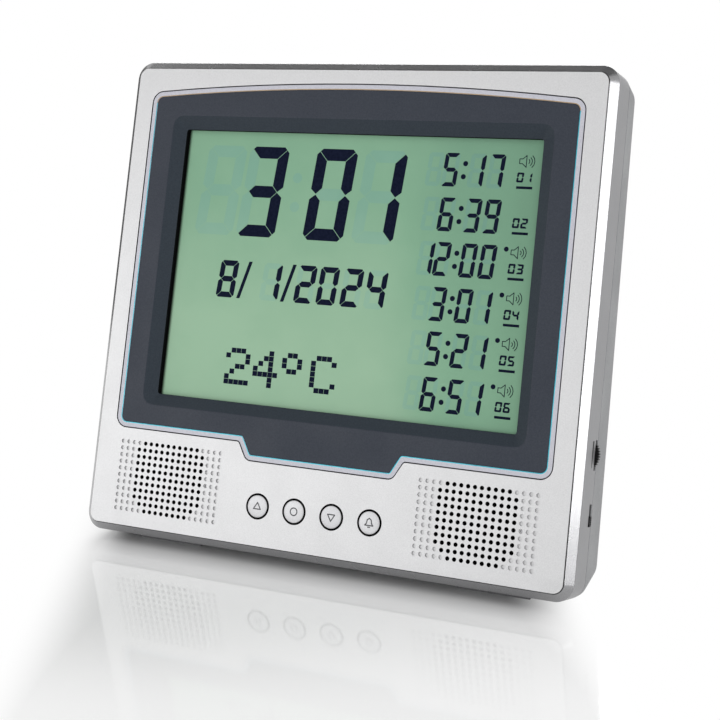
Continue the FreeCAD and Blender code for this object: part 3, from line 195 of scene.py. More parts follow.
spun = add_node(tree, "VectorRotate", rotation_type="Z_AXIS", Center=(0, -SOLE_AHEAD * MM, 0),
                Angle=math.radians(-STRIP_TURN))
tree.links.new(place, spun.inputs["Vector"])
strip = axes_of(tree, spun.outputs["Vector"])
reach = add_node(tree, "VectorMath", operation="LENGTH")
tree.links.new(place, reach.inputs[0])
paler = ramp_between(tree, combined(tree, "ABSOLUTE", strip["X"]), *STRIP_SIDE)
for other in (ramp_between(tree, ahead_of_sole(tree, strip["Y"]), *STRIP_AHEAD, 0.0, STRIP_PALING),
              ramp_between(tree, reach.outputs["Value"], *WHITE_OUT)):
    paler = combined(tree, "MAXIMUM", paler, other)
# A painted glow lifts the table, kept off under the clock and just ahead of its sole as a painted
# contact shadow.
glow_share = combined(tree, "MAXIMUM", ramp_between(tree, ahead, *CONTACT_SHADOW_FADE, 0.0, TABLE_GLOW),
                   ramp_between(tree, beside, *BESIDE_FADE, 0.0, TABLE_GLOW))
direct = seen_directly(tree)
glow, white = add_node(tree, "Emission"), add_node(tree, "Emission", Strength=1.0)
tree.links.new(combined(tree, "MULTIPLY", glow_share, direct), glow.inputs["Strength"])
glowing_table = add_node(tree, "AddShader")
tree.links.new(dulled, glowing_table.inputs[0])
tree.links.new(glow.outputs[0], glowing_table.inputs[1])
tree.links.new(mixed(tree, combined(tree, "MULTIPLY", paler, direct), glowing_table.outputs[0],
                     white.outputs[0]), tree.nodes["Material Output"].inputs["Surface"])
stage_sheet("table_top", TABLE_SIZE, (0, 0, 0), material)

CARD_SHADES, CARD_ROUGH, CARD_GRAIN = (0.112, 0.168), 0.9, 60.0
CARD_SIZE, CARD_PLACE = (1.3, 0.75), (0, 0.3, 0.95)
FLAG_SIZE, FLAG_PLACE, FLAG_TURN = (0.5, 0.6), (-0.69, 0.4, 0.26), -35
material, tree, card_shader = start_material("grey_card")
card_shader.inputs["Roughness"].default_value = CARD_ROUGH
weave, mottle = add_node(tree, "TexNoise", Scale=CARD_GRAIN), add_node(tree, "ValToRGB")
for stop, shade in zip(mottle.color_ramp.elements, CARD_SHADES):
    stop.color = (shade, shade, shade, 1)
tree.links.new(weave.outputs["Fac"], mottle.inputs["Fac"])
tree.links.new(mottle.outputs["Color"], card_shader.inputs["Base Color"])
card = stage_sheet("overhead_card", CARD_SIZE, CARD_PLACE, material)
flag = stage_sheet("side_flag", FLAG_SIZE, (0, 0, 0), material)
flag.data.transform(Matrix.Translation(FLAG_PLACE)
                    @ Matrix.Rotation(math.radians(FLAG_TURN), 4, "Z")
                    @ Matrix.Rotation(math.pi / 2, 4, "Y"))
card.visible_camera = flag.visible_camera = False

# Each lamp has a place, a width, a height and a power.
LAMPS = {
    "key_lamp": ((-0.64, -1.0, 0.26), 0.75, 0.5, 2.6),
    "edge_lamp": ((0.93, -0.24, 0.23), 0.2, 0.6, 2.4),
    "rear_lamp": ((-0.45, 1.15, 0.7), 0.9, 0.6, 18.0),
}
CLOCK_MIDDLE = Vector((0, 0, 0.1))
for name, (lamp_place, wide, tall, power) in LAMPS.items():
    lamp = bpy.data.objects.new(name, bpy.data.lights.new(name, "AREA"))
    bpy.context.scene.collection.objects.link(lamp)
    lamp.location = lamp_place
    aim = CLOCK_MIDDLE - Vector(lamp_place)
    lamp.rotation_euler = aim.to_track_quat("-Z", "Y").to_euler()
    lamp.data.shape = "RECTANGLE"
    lamp.data.size, lamp.data.size_y, lamp.data.energy = wide, tall, power

# ---------------------------------------------------------------------------------- front shell
# The front shell is moulded in black plastic and sprayed satin silver. Its rim and side walls are
# painted a shade darker as painted shade, and its hole bores show the black moulding as painted shade.
# Its grilles are fields of small holes: those over the loudspeaker go through, and the outer
# ones are only shallow dimples.
CASE_HALF, CASE_HEIGHT, CASE_CORNER, PARTING = 115.7, 216.0, 7.8, 18.8
FACE_STEP, RIM_CHAMFER, FACE_INSET, RIM_MARGIN = 0.6, 3.2, 3.5, 0.5
CHAMFER_FOOT = FACE_STEP + RIM_CHAMFER
HOLE_PITCH, HOLE_RADIUS, HOLE_SIDES = 3.0, 0.93, 14
DIMPLE_RADIUS, DIMPLE_TAPER, DIMPLE_DEPTH = 0.95, 0.97, 0.8
GRILLE_ACROSS, GRILLE_HEIGHT, GRILLE_COLUMNS, GRILLE_ROWS = 73.3, 25.9, 18, 11
GRILLE_REACH, GRILLE_RISE = GRILLE_COLUMNS * HOLE_PITCH / 2, GRILLE_ROWS * HOLE_PITCH / 2
OPEN_COLUMNS, TRIMMED_ROWS = 12, {10: 1, 1: 1, 0: 2}
BUTTON_COUNT, BUTTON_HEIGHT, BUTTON_PITCH, BUTTON_HOLE, BORE_SIDES = 4, 20.5, 17.8, 5.64, 72
FACE_BREAK, RIM_BREAK, PARTING_BREAK = 0.1, 0.14, 0.4
CUT_FRONT, CUT_BACK = -1.0, 3.2
ACROSS, UP = Vector((1, 0, 0)), Vector((0, 0, 1))
# How near two places lie that count as level, how near the rim an edge runs that goes round it,
# and how squarely a face looks ahead that counts as flat.
HAIR, LEVEL, NEAR_RIM, SQUARE_ON = 0.01, 0.02, 0.2, 0.99
MERGE_WITHIN, FLAT_ANGLE = 0.002, 0.6
COLOUR_SPREAD, BROAD_SHARE, GRAIN_DETAIL = (0.35, 0.65), 1 / 40, 3.0


def merged_copy(node):
    """A copy of a CAD node's mesh with its triangles joined up, upright and in millimetres."""
    bm = bmesh.new()
    bm.from_mesh(frame["nodes"][node].data)
    bm.transform(TO_TABLE.inverted())
    bmesh.ops.remove_doubles(bm, verts=bm.verts, dist=MERGE_WITHIN)
    bmesh.ops.dissolve_limit(bm, angle_limit=math.radians(FLAT_ANGLE), verts=bm.verts,
                             edges=bm.edges)
    return bm


def inset_of(point):
    """How far a point lies inside the case's rounded outline."""
    across = abs(point.x) - (CASE_HALF - CASE_CORNER)
    up = abs(point.z - CASE_HEIGHT / 2) - (CASE_HEIGHT / 2 - CASE_CORNER)
    return CASE_CORNER - math.hypot(max(across, 0), max(up, 0)) - min(max(across, up), 0)


def edges_round(bm, depth, inset):
    """The edges that run round the case at one depth and one distance inside its outline."""
    return [e for e in bm.edges
            if all(abs(v.co.y - depth) < LEVEL and abs(inset_of(v.co) - inset) < NEAR_RIM
                   for v in e.verts)]


def sharp_edges(bm, angle, chosen=lambda edge: True):
    """The edges that are folded by more than an angle and that a test picks out."""
    return [e for e in bm.edges if len(e.link_faces) == 2
            and e.calc_face_angle(0) > math.radians(angle) and chosen(e)]


def at_depth(depth):
    """A test for edges that lie at one depth."""
    return lambda edge: all(abs(v.co.y - depth) < HAIR for v in edge.verts)


def soften(bm, edges, width, segments=2):
    """Round edges over by a small bevel."""
    bmesh.ops.bevel(bm, geom=edges, offset=width, offset_type="OFFSET", segments=segments,
                    profile=0.5, affect="EDGES", clamp_overlap=True, material=-1)


def divide(bm, chosen, cuts):
    """Divide the chosen faces along lines across or up the case."""
    for axis, places in cuts:
        for place in places:
            faces = [f for f in bm.faces if chosen(f)]
            geom = set(faces)
            for face in faces:
                geom.update(face.edges, face.verts)
            bmesh.ops.bisect_plane(bm, geom=list(geom), plane_co=axis * place, plane_no=axis)


def pegs(bm, places, radius, front, back, sides, taper=1.0):
    """Round bars into the depth at each place on the face."""
    turn = Matrix.Rotation(-math.pi / 2, 4, "X")
    for x, z in places:
        at = Matrix.Translation((x, (front + back) / 2, z)) @ turn
        bmesh.ops.create_cone(bm, cap_ends=True, segments=sides, radius1=radius,
                              radius2=radius * taper, depth=back - front, matrix=at)


def cut_away(bm, tools, crossing=False):
    """The mesh with the tools' solids taken out of it, also where the tools cross each other."""
    pair = []
    for label, part in (("blank", bm), ("tools", tools)):
        mesh = bpy.data.meshes.new(label)
        part.to_mesh(mesh)
        part.free()
        pair.append(bpy.data.objects.new(label, mesh))
        bpy.context.scene.collection.objects.link(pair[-1])
    blank, cutters = pair
    boolean = blank.modifiers.new("cut", "BOOLEAN")
    boolean.operation, boolean.solver, boolean.object = "DIFFERENCE", "EXACT", cutters
    boolean.use_self = crossing
    result = bmesh.new()
    result.from_object(blank, bpy.context.evaluated_depsgraph_get())
    result.normal_update()
    for used in pair:
        bpy.data.objects.remove(used)
    return result


def new_piece(name, bm, body, materials, stands_for=(), crease=32):
    """Lean a finished mesh back into its place, shade it evenly and hang it on its body."""
    bm.normal_update()
    for face in bm.faces:
        face.smooth = True
    for edge in bm.edges:
        edge.smooth = len(edge.link_faces) == 2 and edge.calc_face_angle(0) < math.radians(crease)
    bm.transform(TO_TABLE)
    mesh = bpy.data.meshes.new(name)
    bm.to_mesh(mesh)
    bm.free()
    for material in materials:
        mesh.materials.append(material)
    piece = bpy.data.objects.new(name, mesh)
    bpy.context.scene.collection.objects.link(piece)
    piece.modifiers.new("even_shading", "WEIGHTED_NORMAL").keep_sharp = True
    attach(piece, body)
    if stands_for:
        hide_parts(*stands_for)


def colour(code):
    """A linear colour from a six-digit screen colour."""
    parts = [int(code[i:i + 2], 16) / 255 for i in (0, 2, 4)]
    return [c / 12.92 if c <= 0.04045 else ((c + 0.055) / 1.055) ** 2.4 for c in parts] + [1.0]


def finish(name, dark, pale, grain, rough, relief=0.0, metal=0.0, ior=1.45):
    """A moulded or sprayed finish: a fine grain between two colours, uneven gloss, slight relief."""
    material, tree, shader = start_material(name)
    place = add_node(tree, "TexCoord").outputs["Object"]
    fine = noise_on(tree, place, grain, GRAIN_DETAIL)
    broad = noise_on(tree, place, grain * BROAD_SHARE)
    ramp = add_node(tree, "ValToRGB")
    for stop, stop_place, code in zip(ramp.color_ramp.elements, COLOUR_SPREAD, (dark, pale)):
        stop.position, stop.color = stop_place, colour(code)
    tree.links.new(fine, ramp.inputs["Fac"])
    tree.links.new(ramp.outputs["Color"], shader.inputs["Base Color"])
    tree.links.new(ramp_between(tree, broad, *NOISE_SPAN, *rough), shader.inputs["Roughness"])
    shader.inputs["Metallic"].default_value = metal
    shader.inputs["IOR"].default_value = ior
    if relief:
        bump = add_node(tree, "Bump", Strength=0.5, Distance=relief * MM)
        tree.links.new(fine, bump.inputs["Height"])
        tree.links.new(bump.outputs["Normal"], shader.inputs["Normal"])
    return material


def on_face(face):
    """True for the flat of the raised face."""
    return face.normal.y < -SQUARE_ON and face.calc_center_median().y < HAIR


def in_grille(face, depth=HAIR):
    """True for what lies in a grille's field no deeper than this."""
    middle = face.calc_center_bounds()
    return (middle.y < depth and abs(abs(middle.x) - GRILLE_ACROSS) < GRILLE_REACH
            and abs(middle.z - GRILLE_HEIGHT) < GRILLE_RISE)


open_holes, dimples = [], []
for side in (-1, 1):
    for row in range(GRILLE_ROWS):
        spare = (GRILLE_COLUMNS - OPEN_COLUMNS) // 2 + TRIMMED_ROWS.get(row, 0)
        for column in range(GRILLE_COLUMNS):
            x = side * GRILLE_ACROSS + (column - (GRILLE_COLUMNS - 1) / 2) * HOLE_PITCH
            z = GRILLE_HEIGHT + (row - (GRILLE_ROWS - 1) / 2) * HOLE_PITCH
            inside = spare <= column < GRILLE_COLUMNS - spare
            (open_holes if inside else dimples).append((x, z))
button_places = [((i - (BUTTON_COUNT - 1) / 2) * BUTTON_PITCH, BUTTON_HEIGHT)
                 for i in range(BUTTON_COUNT)]
lines_across = [side * GRILLE_ACROSS + (i - GRILLE_COLUMNS / 2) * HOLE_PITCH
                for side in (-1, 1) for i in range(GRILLE_COLUMNS + 1)]
lines_up = [GRILLE_HEIGHT + (i - GRILLE_ROWS / 2) * HOLE_PITCH for i in range(GRILLE_ROWS + 1)]
field_sides = [lines_across[i] for i in (0, GRILLE_COLUMNS, GRILLE_COLUMNS + 1, -1)]

shell = merged_copy("front_case")
soften(shell, edges_round(shell, PARTING, 0), PARTING_BREAK, 1)
soften(shell, edges_round(shell, CHAMFER_FOOT, 0), RIM_BREAK)
soften(shell, edges_round(shell, 0, FACE_INSET), FACE_BREAK)
divide(shell, on_face, [(UP, (lines_up[0], lines_up[-1])), (ACROSS, field_sides)])
divide(shell, in_grille, [(UP, lines_up[1:-1]), (ACROSS, lines_across)])
drills = bmesh.new()
pegs(drills, open_holes, HOLE_RADIUS, CUT_FRONT, CUT_BACK, HOLE_SIDES)
pegs(drills, dimples, DIMPLE_RADIUS, CUT_FRONT, DIMPLE_DEPTH, HOLE_SIDES, DIMPLE_TAPER)
pegs(drills, button_places, BUTTON_HOLE, CUT_FRONT, CUT_BACK, BORE_SIDES)
shell = cut_away(shell, drills)
PAINTED, RIM_PAINTED_SHADE, WALL_PAINTED_SHADE, BLACK_AND_SHADE = 0, 1, 2, 3
# The rim and side walls take darker paints as painted shade. Everything else is black, and on the
# bores that black is painted shade.
for face in shell.faces:
    middle = face.calc_center_median()
    if on_face(face) or in_grille(face, DIMPLE_DEPTH + HAIR):
        face.material_index = PAINTED
    elif inset_of(middle) < FACE_INSET + RIM_MARGIN and middle.y < CHAMFER_FOOT:
        face.material_index = RIM_PAINTED_SHADE
    elif inset_of(middle) < RIM_MARGIN and middle.y < PARTING - PARTING_BREAK:
        face.material_index = WALL_PAINTED_SHADE
    else:
        face.material_index = BLACK_AND_SHADE
face_paint = finish("satin_silver_paint", "cfcfd0", "dadadb", grain=2600, rough=(0.4, 0.43),
                    relief=0.01, metal=0.3)
rim_shade_paint = finish("rim_silver_painted_shade", "8e8e90", "989899", grain=2600, rough=(0.24, 0.28),
                    relief=0.006, metal=0.8)
wall_shade_paint = finish("wall_silver_painted_shade", "848486", "8f8f91", grain=2600, rough=(0.38, 0.41),
                    relief=0.008, metal=0.4)
black_moulding_and_shade = finish("black_moulding_and_shade", "060607", "0c0c0d", grain=1500, rough=(0.6, 0.7),
                        ior=1.15)
new_piece("front_shell", shell, "clock",
          [face_paint, rim_shade_paint, wall_shade_paint, black_moulding_and_shade], ["front_case"], crease=24)

# ----------------------------------------------------------------------------------- back shell
# The back shell is moulded in silver-grey plastic and left unpainted: a wedge with wells for six
# screws, a battery bay, a recess for the leg, two keyholes for a wall and a power socket.
BACK_LOW, BACK_HIGH, LEVEL_BACK = 48.0, 38.0, 0.06
WELL_ACROSS, WELL_HEIGHTS = 99.0, (22.0, 112.0, 196.0)
WELLS = [(side * WELL_ACROSS, height) for side in (-1, 1) for height in WELL_HEIGHTS]
WELL_RADIUS, WELL_FLOOR, BEYOND, ROUND_SIDES = 3.75, 21.32, 60.0, 48
MOUTH_FOLD, MOUTH_BREAK, BACK_CREASE = 50, 0.3, 28


def back_depth(height):
    """The depth of the sloping back at a height."""
    return BACK_LOW + (BACK_HIGH - BACK_LOW) * height / CASE_HEIGHT


def on_back(edge):
    """True for an edge that lies in the sloping back."""
    return all(abs(v.co.y - back_depth(v.co.z)) < LEVEL_BACK for v in edge.verts)


back = merged_copy("back_case")
drills = bmesh.new()
pegs(drills, WELLS, WELL_RADIUS, WELL_FLOOR, BEYOND, ROUND_SIDES)
back = cut_away(back, drills)
soften(back, edges_round(back, PARTING, 0), PARTING_BREAK, 1)
soften(back, sharp_edges(back, MOUTH_FOLD, on_back), MOUTH_BREAK)
back_plastic = finish("back_silver_plastic", "77787a", "868789", grain=1500, rough=(0.4, 0.5),
                      relief=0.03, metal=0.1)
new_piece("back_shell", back, "clock", [back_plastic], ["back_case"],
          crease=BACK_CREASE)

# ------------------------------------------------------------------------------------ trim ring
# A pale lilac-silver ring lies in the recess of the face, with a groove along its outer edge whose
# floor is black as painted shade. Its inner edge is polished and carries a painted cold highlight and,
# along the crown, a painted warm one.
DISPLAY_MIDDLE, BAND, GROOVE_DEPTH, CROWN_START = Vector((0, 0, 118.0)), 0.36, 0.9, 195.0
WALL_TILT = 0.5


def faces_out(face):
    """True where a wall of the ring looks away from the display's middle."""
    away = face.calc_center_median() - DISPLAY_MIDDLE
    return bool(face.normal.x * away.x + face.normal.z * away.z > 0)


def beside_outer_wall(face):
    """True where a face of the ring's top lies along its outer wall."""
    return any(faces_out(wall) for edge in face.edges for wall in edge.link_faces
               if abs(wall.normal.y) < WALL_TILT)


def verts_of(grown):
    """The vertices in what an extrusion made."""
    return [v for v in grown["geom"] if isinstance(v, bmesh.types.BMVert)]


trim = merged_copy("display_trim")
top = [f for f in trim.faces if f.normal.y < -SQUARE_ON]
bands = bmesh.ops.inset_region(trim, faces=top, thickness=BAND, use_even_offset=True)["faces"]
groove = [face for face in bands if beside_outer_wall(face)]
COLD_HIGHLIGHT, WARM_HIGHLIGHT, SHADED_GROOVE = 1, 2, 3
# The bands along the inner edge carry painted highlights, and the groove's floor is black as painted
# shade.
for face in bands:
    high = face.calc_center_median().z > CROWN_START
    face.material_index = SHADED_GROOVE if face in groove else WARM_HIGHLIGHT if high else COLD_HIGHLIGHT
sunk = bmesh.ops.extrude_face_region(trim, geom=groove)
bmesh.ops.delete(trim, geom=groove, context="FACES")
bmesh.ops.translate(trim, verts=verts_of(sunk), vec=(0, GROOVE_DEPTH, 0))
trim_satin = finish("trim_pale_plastic", "c8c8d2", "d3d3dc", grain=1800, rough=(0.3, 0.4),
                    relief=0.006)
trim_cold_highlight = finish("trim_painted_cold_highlight", "1ea6bc", "3abccf", grain=500, rough=(0.2, 0.3), metal=0.2)
trim_warm_highlight = finish("trim_painted_warm_highlight", "a98f6e", "b89d7a", grain=500, rough=(0.2, 0.3), metal=0.2)
new_piece("trim_ring", trim, "clock",
          [trim_satin, trim_cold_highlight, trim_warm_highlight, black_moulding_and_shade], ["display_trim"], crease=50)

# ---------------------------------------------------------------------------------------- bezel
# The bezel is moulded in slate plastic with a fine satin texture. Inside its flat border four slopes,
# a shade darker as painted shade, run down to a short throat that is black as painted shade round the
# display.
BEZEL_FACE, THROAT_TOP, BEZEL_FOLD = 0.25, 3.8, 20
MOUTH_HALF, MOUTH_LOW, MOUTH_HIGH = 91.5, 58.5, 191.0
BEZEL_BREAK, THROAT_BREAK = 0.22, 0.1
bezel = merged_copy("display_bezel")
soften(bezel, sharp_edges(bezel, BEZEL_FOLD, at_depth(BEZEL_FACE)), BEZEL_BREAK)
soften(bezel, sharp_edges(bezel, BEZEL_FOLD, at_depth(THROAT_TOP)), THROAT_BREAK)
SHADED_SLOPE, SHADED_THROAT = 1, 2
# The slopes take a darker slate and the throat black, both as painted shade.
for face in bezel.faces:
    middle = face.calc_center_median()
    inside = abs(middle.x) < MOUTH_HALF and MOUTH_LOW < middle.z < MOUTH_HIGH
    if inside and middle.y > BEZEL_FACE + BEZEL_BREAK / 2:
        face.material_index = SHADED_SLOPE if middle.y < THROAT_TOP + THROAT_BREAK / 2 else SHADED_THROAT
slate = finish("bezel_slate_plastic", "333842", "3a3f49", grain=1600, rough=(0.42, 0.52),
               relief=0.01, ior=1.3)
slate_slope_shade = finish("bezel_slope_painted_shade", "2b333c", "323a43", grain=1600, rough=(0.42, 0.52),
                     relief=0.01, ior=1.3)
new_piece("bezel", bezel, "clock", [slate, slate_slope_shade, black_moulding_and_shade],
          ["display_bezel"], crease=BEZEL_FOLD)

# ------------------------------------------------------------------------------------- LCD film
# The display is a green reflective film, with painted shade deepening towards its top and its
# right-hand side and a painted shadow along its left edge.
# A second film lies behind the glass. The fades are in metres.
FILM_SHADES, FILM_STOPS = ("a4c9aa", "8cb899", "80ab8f"), (0.0, 0.5, 1.0)
SHADE_UP, SHADE_UP_SHARE, SHADE_ACROSS, SHADE_ACROSS_SHARE = (0.085, 0.175), 0.5, (0.012, 0.062), 0.6
FILM_MOTTLE, FILM_ROUGH, FILM_GLOSS = (-0.04, 0.04), (0.42, 0.5), 1.2
FILM_GRAIN, FILM_EDGE_SHADOW, FILM_SHADOW_SPAN = 55.0, "050605", (-0.0856, -0.0838)


def film_finish(name, shades):
    """A display film with painted shade deepening up and across, a faint mottle and a painted shadow
    along its left edge.
    """
    material, tree, shader = start_material(name)
    place = add_node(tree, "TexCoord").outputs["Object"]
    spot, mottle = axes_of(tree, place), noise_on(tree, place, FILM_GRAIN)
    # Painted shade deepens the film towards its top and its right-hand side.
    total = ramp_between(tree, spot["Z"], *SHADE_UP, 0.0, SHADE_UP_SHARE)
    for share in (ramp_between(tree, spot["X"], *SHADE_ACROSS, 0.0, SHADE_ACROSS_SHARE),
                  ramp_between(tree, mottle, *NOISE_SPAN, *FILM_MOTTLE)):
        total = combined(tree, "ADD", total, share)
    ramp = add_node(tree, "ValToRGB")
    ramp.color_ramp.elements.new(FILM_STOPS[1])
    for stop, stop_place, shade in zip(ramp.color_ramp.elements, FILM_STOPS, shades):
        stop.position, stop.color = stop_place, colour(shade)
    tree.links.new(total, ramp.inputs["Fac"])
    # A painted shadow darkens the film along its left edge.
    shadowed = add_node(tree, "MixRGB", Color1=colour(FILM_EDGE_SHADOW))
    tree.links.new(ramp_between(tree, spot["X"], *FILM_SHADOW_SPAN), shadowed.inputs["Fac"])
    tree.links.new(ramp.outputs["Color"], shadowed.inputs["Color2"])
    tree.links.new(shadowed.outputs["Color"], shader.inputs["Base Color"])
    tree.links.new(ramp_between(tree, mottle, *NOISE_SPAN, *FILM_ROUGH),
                   shader.inputs["Roughness"])
    shader.inputs["IOR"].default_value = FILM_GLOSS
    return material


def dress(material, *nodes):
    """Give CAD nodes their finish."""
    for node in nodes:
        mesh = frame["nodes"][node].data
        mesh.materials.clear()
        mesh.materials.append(material)


film_green = film_finish("display_green_film", FILM_SHADES)
dress(film_green, "front_polariser", "rear_polariser")

# ------------------------------------------------------------------------------ display segments
# Dark segments on the film show the time, the date and six further times, each with a numbered
# mark, and those that are switched off still show as faint bluish shapes.
FILM_FACE, INK, STROKE_OVERRUN, DOT_SIDES = 6.0, 0.02, 0.6, 20
SLANT, CORNER_CUT, WAIST_CUT = math.tan(math.radians(5)), 0.45, 0.4
DIGIT_SEGMENTS = {"0": "abcdef", "1": "bc", "2": "abged", "3": "abgcd", "4": "fgbc", "5": "afgcd",
                  "6": "afgedc", "7": "abc", "8": "abcdefg", "9": "abcdfg", " ": ""}
GHOST_SHADES = ("9ec6ad", "86b49e", "7ba794")


def segment(letter, w, h, t, gap):
    """The outline of one of the seven segments, t thick, in a cell w wide and h high."""
    cut, half = CORNER_CUT * t, t / 2
    if letter in "ad":
        outline = [(cut / 2 + gap, h - cut / 2), (cut + gap, h), (w - cut - gap, h),
                   (w - cut / 2 - gap, h - cut / 2), (w - t - gap, h - t), (t + gap, h - t)]
    elif letter == "g":
        middle = h / 2
        return [(half + gap, middle), (t + gap, middle + half), (w - t - gap, middle + half),
                (w - half - gap, middle), (w - t - gap, middle - half), (t + gap, middle - half)]
    else:
        outline = [(w - cut / 2, h - cut / 2 - gap), (w, h - cut - gap),
                   (w, h / 2 + WAIST_CUT * t + gap), (w - half, h / 2 + gap),
                   (w - t, h / 2 + half + gap), (w - t, h - t - gap)]
    if letter in "dce":
        outline = [(x, h - z) for x, z in outline]
    if letter in "ef":
        outline = [(w - x, z) for x, z in outline]
    return outline


def arc(radius, start, sweep, steps):
    """Points round a centre, from a start angle through a sweep, both in degrees."""
    turns = [math.radians(start + sweep * k / steps) for k in range(steps + 1)]
    return [(radius * math.cos(turn), radius * math.sin(turn)) for turn in turns]


def add_outline(bm, outline, x, z, slant=0.0, depth=FILM_FACE - INK):
    """One flat printed shape, slanted about its foot."""
    return bm.faces.new([bm.verts.new((x + a + slant * b, depth, z + b)) for a, b in outline])


def add_figure(text, x, z, cell):
    """A seven-segment figure: its lit segments in one mesh, the others in the faint one."""
    for letter in "abcdefg":
        on = letter in DIGIT_SEGMENTS[text]
        add_outline(lit if on else unlit, segment(letter, *cell), x, z, SLANT)


def add_dot(bm, x, z, radius):
    """A round printed dot."""
    add_outline(bm, arc(radius, 0, 360, DOT_SIDES)[:-1], x, z)


def add_stroke(bm, points, width, x, z, depth=FILM_FACE - INK):
    """A thin drawn line through a row of points, run on a little past each."""
    for start, end in zip(points, points[1:]):
        along = (Vector(end) - Vector(start)).normalized() * width / 2
        side = Vector((-along.y, along.x))
        a, b = Vector(start) - along * STROKE_OVERRUN, Vector(end) + along * STROKE_OVERRUN
        add_outline(bm, [a - side, b - side, b + side, a + side], x, z, 0.0, depth)


def thicken(bm, by):
    """Give flat shapes the thickness of a printed layer."""
    bmesh.ops.recalc_face_normals(bm, faces=bm.faces)
    grown = bmesh.ops.extrude_face_region(bm, geom=list(bm.faces), use_keep_orig=True)
    bmesh.ops.translate(bm, verts=verts_of(grown), vec=by)
    bmesh.ops.recalc_face_normals(bm, faces=bm.faces)


# A cell is a figure's width, height, stroke and the gap between its segments.
lit, unlit = bmesh.new(), bmesh.new()
TIME_FOOT, TIME_CELL = 137.8, (19.8, 40.7, 5.3, 0.18)
TIME_FIGURES = ((" ", -77.6), ("3", -56.0), ("0", -22.2), ("1", 1.6))
for text, x in TIME_FIGURES:
    add_figure(text, x, TIME_FOOT, TIME_CELL)
COLON_ACROSS, COLON_HEIGHTS, COLON_RADIUS = -27.5, (152.0, 165.0), 2.3
for z in COLON_HEIGHTS:
    add_dot(unlit, COLON_ACROSS, z, COLON_RADIUS)
DATE_FOOT, DATE_HEIGHT = 109.8, 16.7
DATE_CELL = (9.2, DATE_HEIGHT, 2.5, 0.12)
DATE_FIGURES = (("8", -62.8), ("1", -40.5), ("2", -23.4), ("0", -12.4), ("2", -0.8), ("4", 10.7))
for text, x in DATE_FIGURES:
    add_figure(text, x, DATE_FOOT, DATE_CELL)
BAR_WIDE, BAR_LEAN, BAR_PLACES = 1.7, 4.8, (-52.0, -29.8)
slash = [(0, 0), (BAR_WIDE, 0), (BAR_LEAN + BAR_WIDE, DATE_HEIGHT), (BAR_LEAN, DATE_HEIGHT)]
for x in BAR_PLACES:
    add_outline(lit, slash, x, DATE_FOOT)

ROWS = ((178.5, "517"), (159.4, "639"), (140.4, "1200"), (121.3, "301"), (102.5, "521"),
        (83.4, "651"))
ROW_HEIGHT, ROW_PLACES = 14.4, (33.6, 41.0, 52.8, 61.4)
ROW_CELL = (6.8, ROW_HEIGHT, 1.8, 0.1)
ROW_COLON, ROW_COLON_RADIUS = ((51.0, 4.4), (51.5, 10.0)), 1.12
INDEX_LEFT, INDEX_PITCH, INDEX_DROP, INDEX_CELL = 74.6, 3.6, 11.5, (3.0, 4.2, 0.85, 0.0)
DASH_COUNT, DASH_LONG, DASH_THICK, DASH_LEFT, DASH_PITCH, DASH_LIFT = 5, 0.8, 1.1, 75.2, 1.4, 0.75
SPEAKER_SIGN = [(0, 1.7), (1.3, 1.7), (3.0, 0.2), (3.0, 5.2), (1.3, 3.7), (0, 3.7), (0, 1.7)]
SPEAKER_LEFT, SPEAKER_DROP, SIGN_LINE, SILENT_ROW = 75.4, 5.3, 0.34, 2
WAVE_RADII, WAVE_LEFT, WAVE_DROP, WAVE_HALF, WAVE_STEPS = (1.1, 2.2, 3.3), 78.7, 2.6, 48, 4
MARK_LEFT, MARK_DROP, MARK_RADIUS, MARKED_FROM = 73.2, 1.4, 1.05, 3
for number, (top, clock_time) in enumerate(ROWS, start=1):
    foot = top - ROW_HEIGHT
    for text, x in zip(clock_time.rjust(len(ROW_PLACES)), ROW_PLACES):
        add_figure(text, x, foot, ROW_CELL)
    for x, rise in ROW_COLON:
        add_dot(lit, x, foot + rise, ROW_COLON_RADIUS)
    for text, x in zip(f"0{number}", (INDEX_LEFT, INDEX_LEFT + INDEX_PITCH)):
        for letter in DIGIT_SEGMENTS[text]:
            add_outline(lit, segment(letter, *INDEX_CELL), x, top - INDEX_DROP, SLANT)
    for step in range(DASH_COUNT):
        add_stroke(lit, [(0, 0), (DASH_LONG, 0)], DASH_THICK, DASH_LEFT + DASH_PITCH * step,
                   foot + DASH_LIFT)
    if number != SILENT_ROW:
        add_stroke(lit, SPEAKER_SIGN, SIGN_LINE, SPEAKER_LEFT, top - SPEAKER_DROP)
        for radius in WAVE_RADII:
            add_stroke(lit, arc(radius, -WAVE_HALF, 2 * WAVE_HALF, WAVE_STEPS), SIGN_LINE,
                       WAVE_LEFT, top - WAVE_DROP)
    if number >= MARKED_FROM:
        add_dot(lit, MARK_LEFT, top - MARK_DROP, MARK_RADIUS)

DOTS = {"2": "01110 10001 00001 00110 01000 10000 11111",
        "4": "00010 00110 01010 10010 11111 00010 00010",
        "o": "01100 10010 10010 01100 00000 00000 00000",
        "C": "01110 10001 10000 10000 10000 10001 01110"}
DOT_ACROSS, DOT_UP, DOT_WIDE, DOT_TALL = 2.5, 2.33, 2.36, 2.2
TEXT_LEFT, TEXT_TOP, TEXT_PITCH = -53.8, 87.8, 14.2
dot = [(0, 0), (DOT_WIDE, 0), (DOT_WIDE, DOT_TALL), (0, DOT_TALL)]
for i, text in enumerate("24oC"):
    for row, line in enumerate(DOTS[text].split()):
        for column, mark in enumerate(line):
            if mark == "1":
                add_outline(lit, dot, TEXT_LEFT + i * TEXT_PITCH + column * DOT_ACROSS,
                            TEXT_TOP - (row + 1) * DOT_UP)
for layer in (lit, unlit):
    thicken(layer, (0, INK, 0))
lit_ink = finish("lit_segment_ink", "10162a", "181e33", grain=900, rough=(0.6, 0.7), ior=1.1)
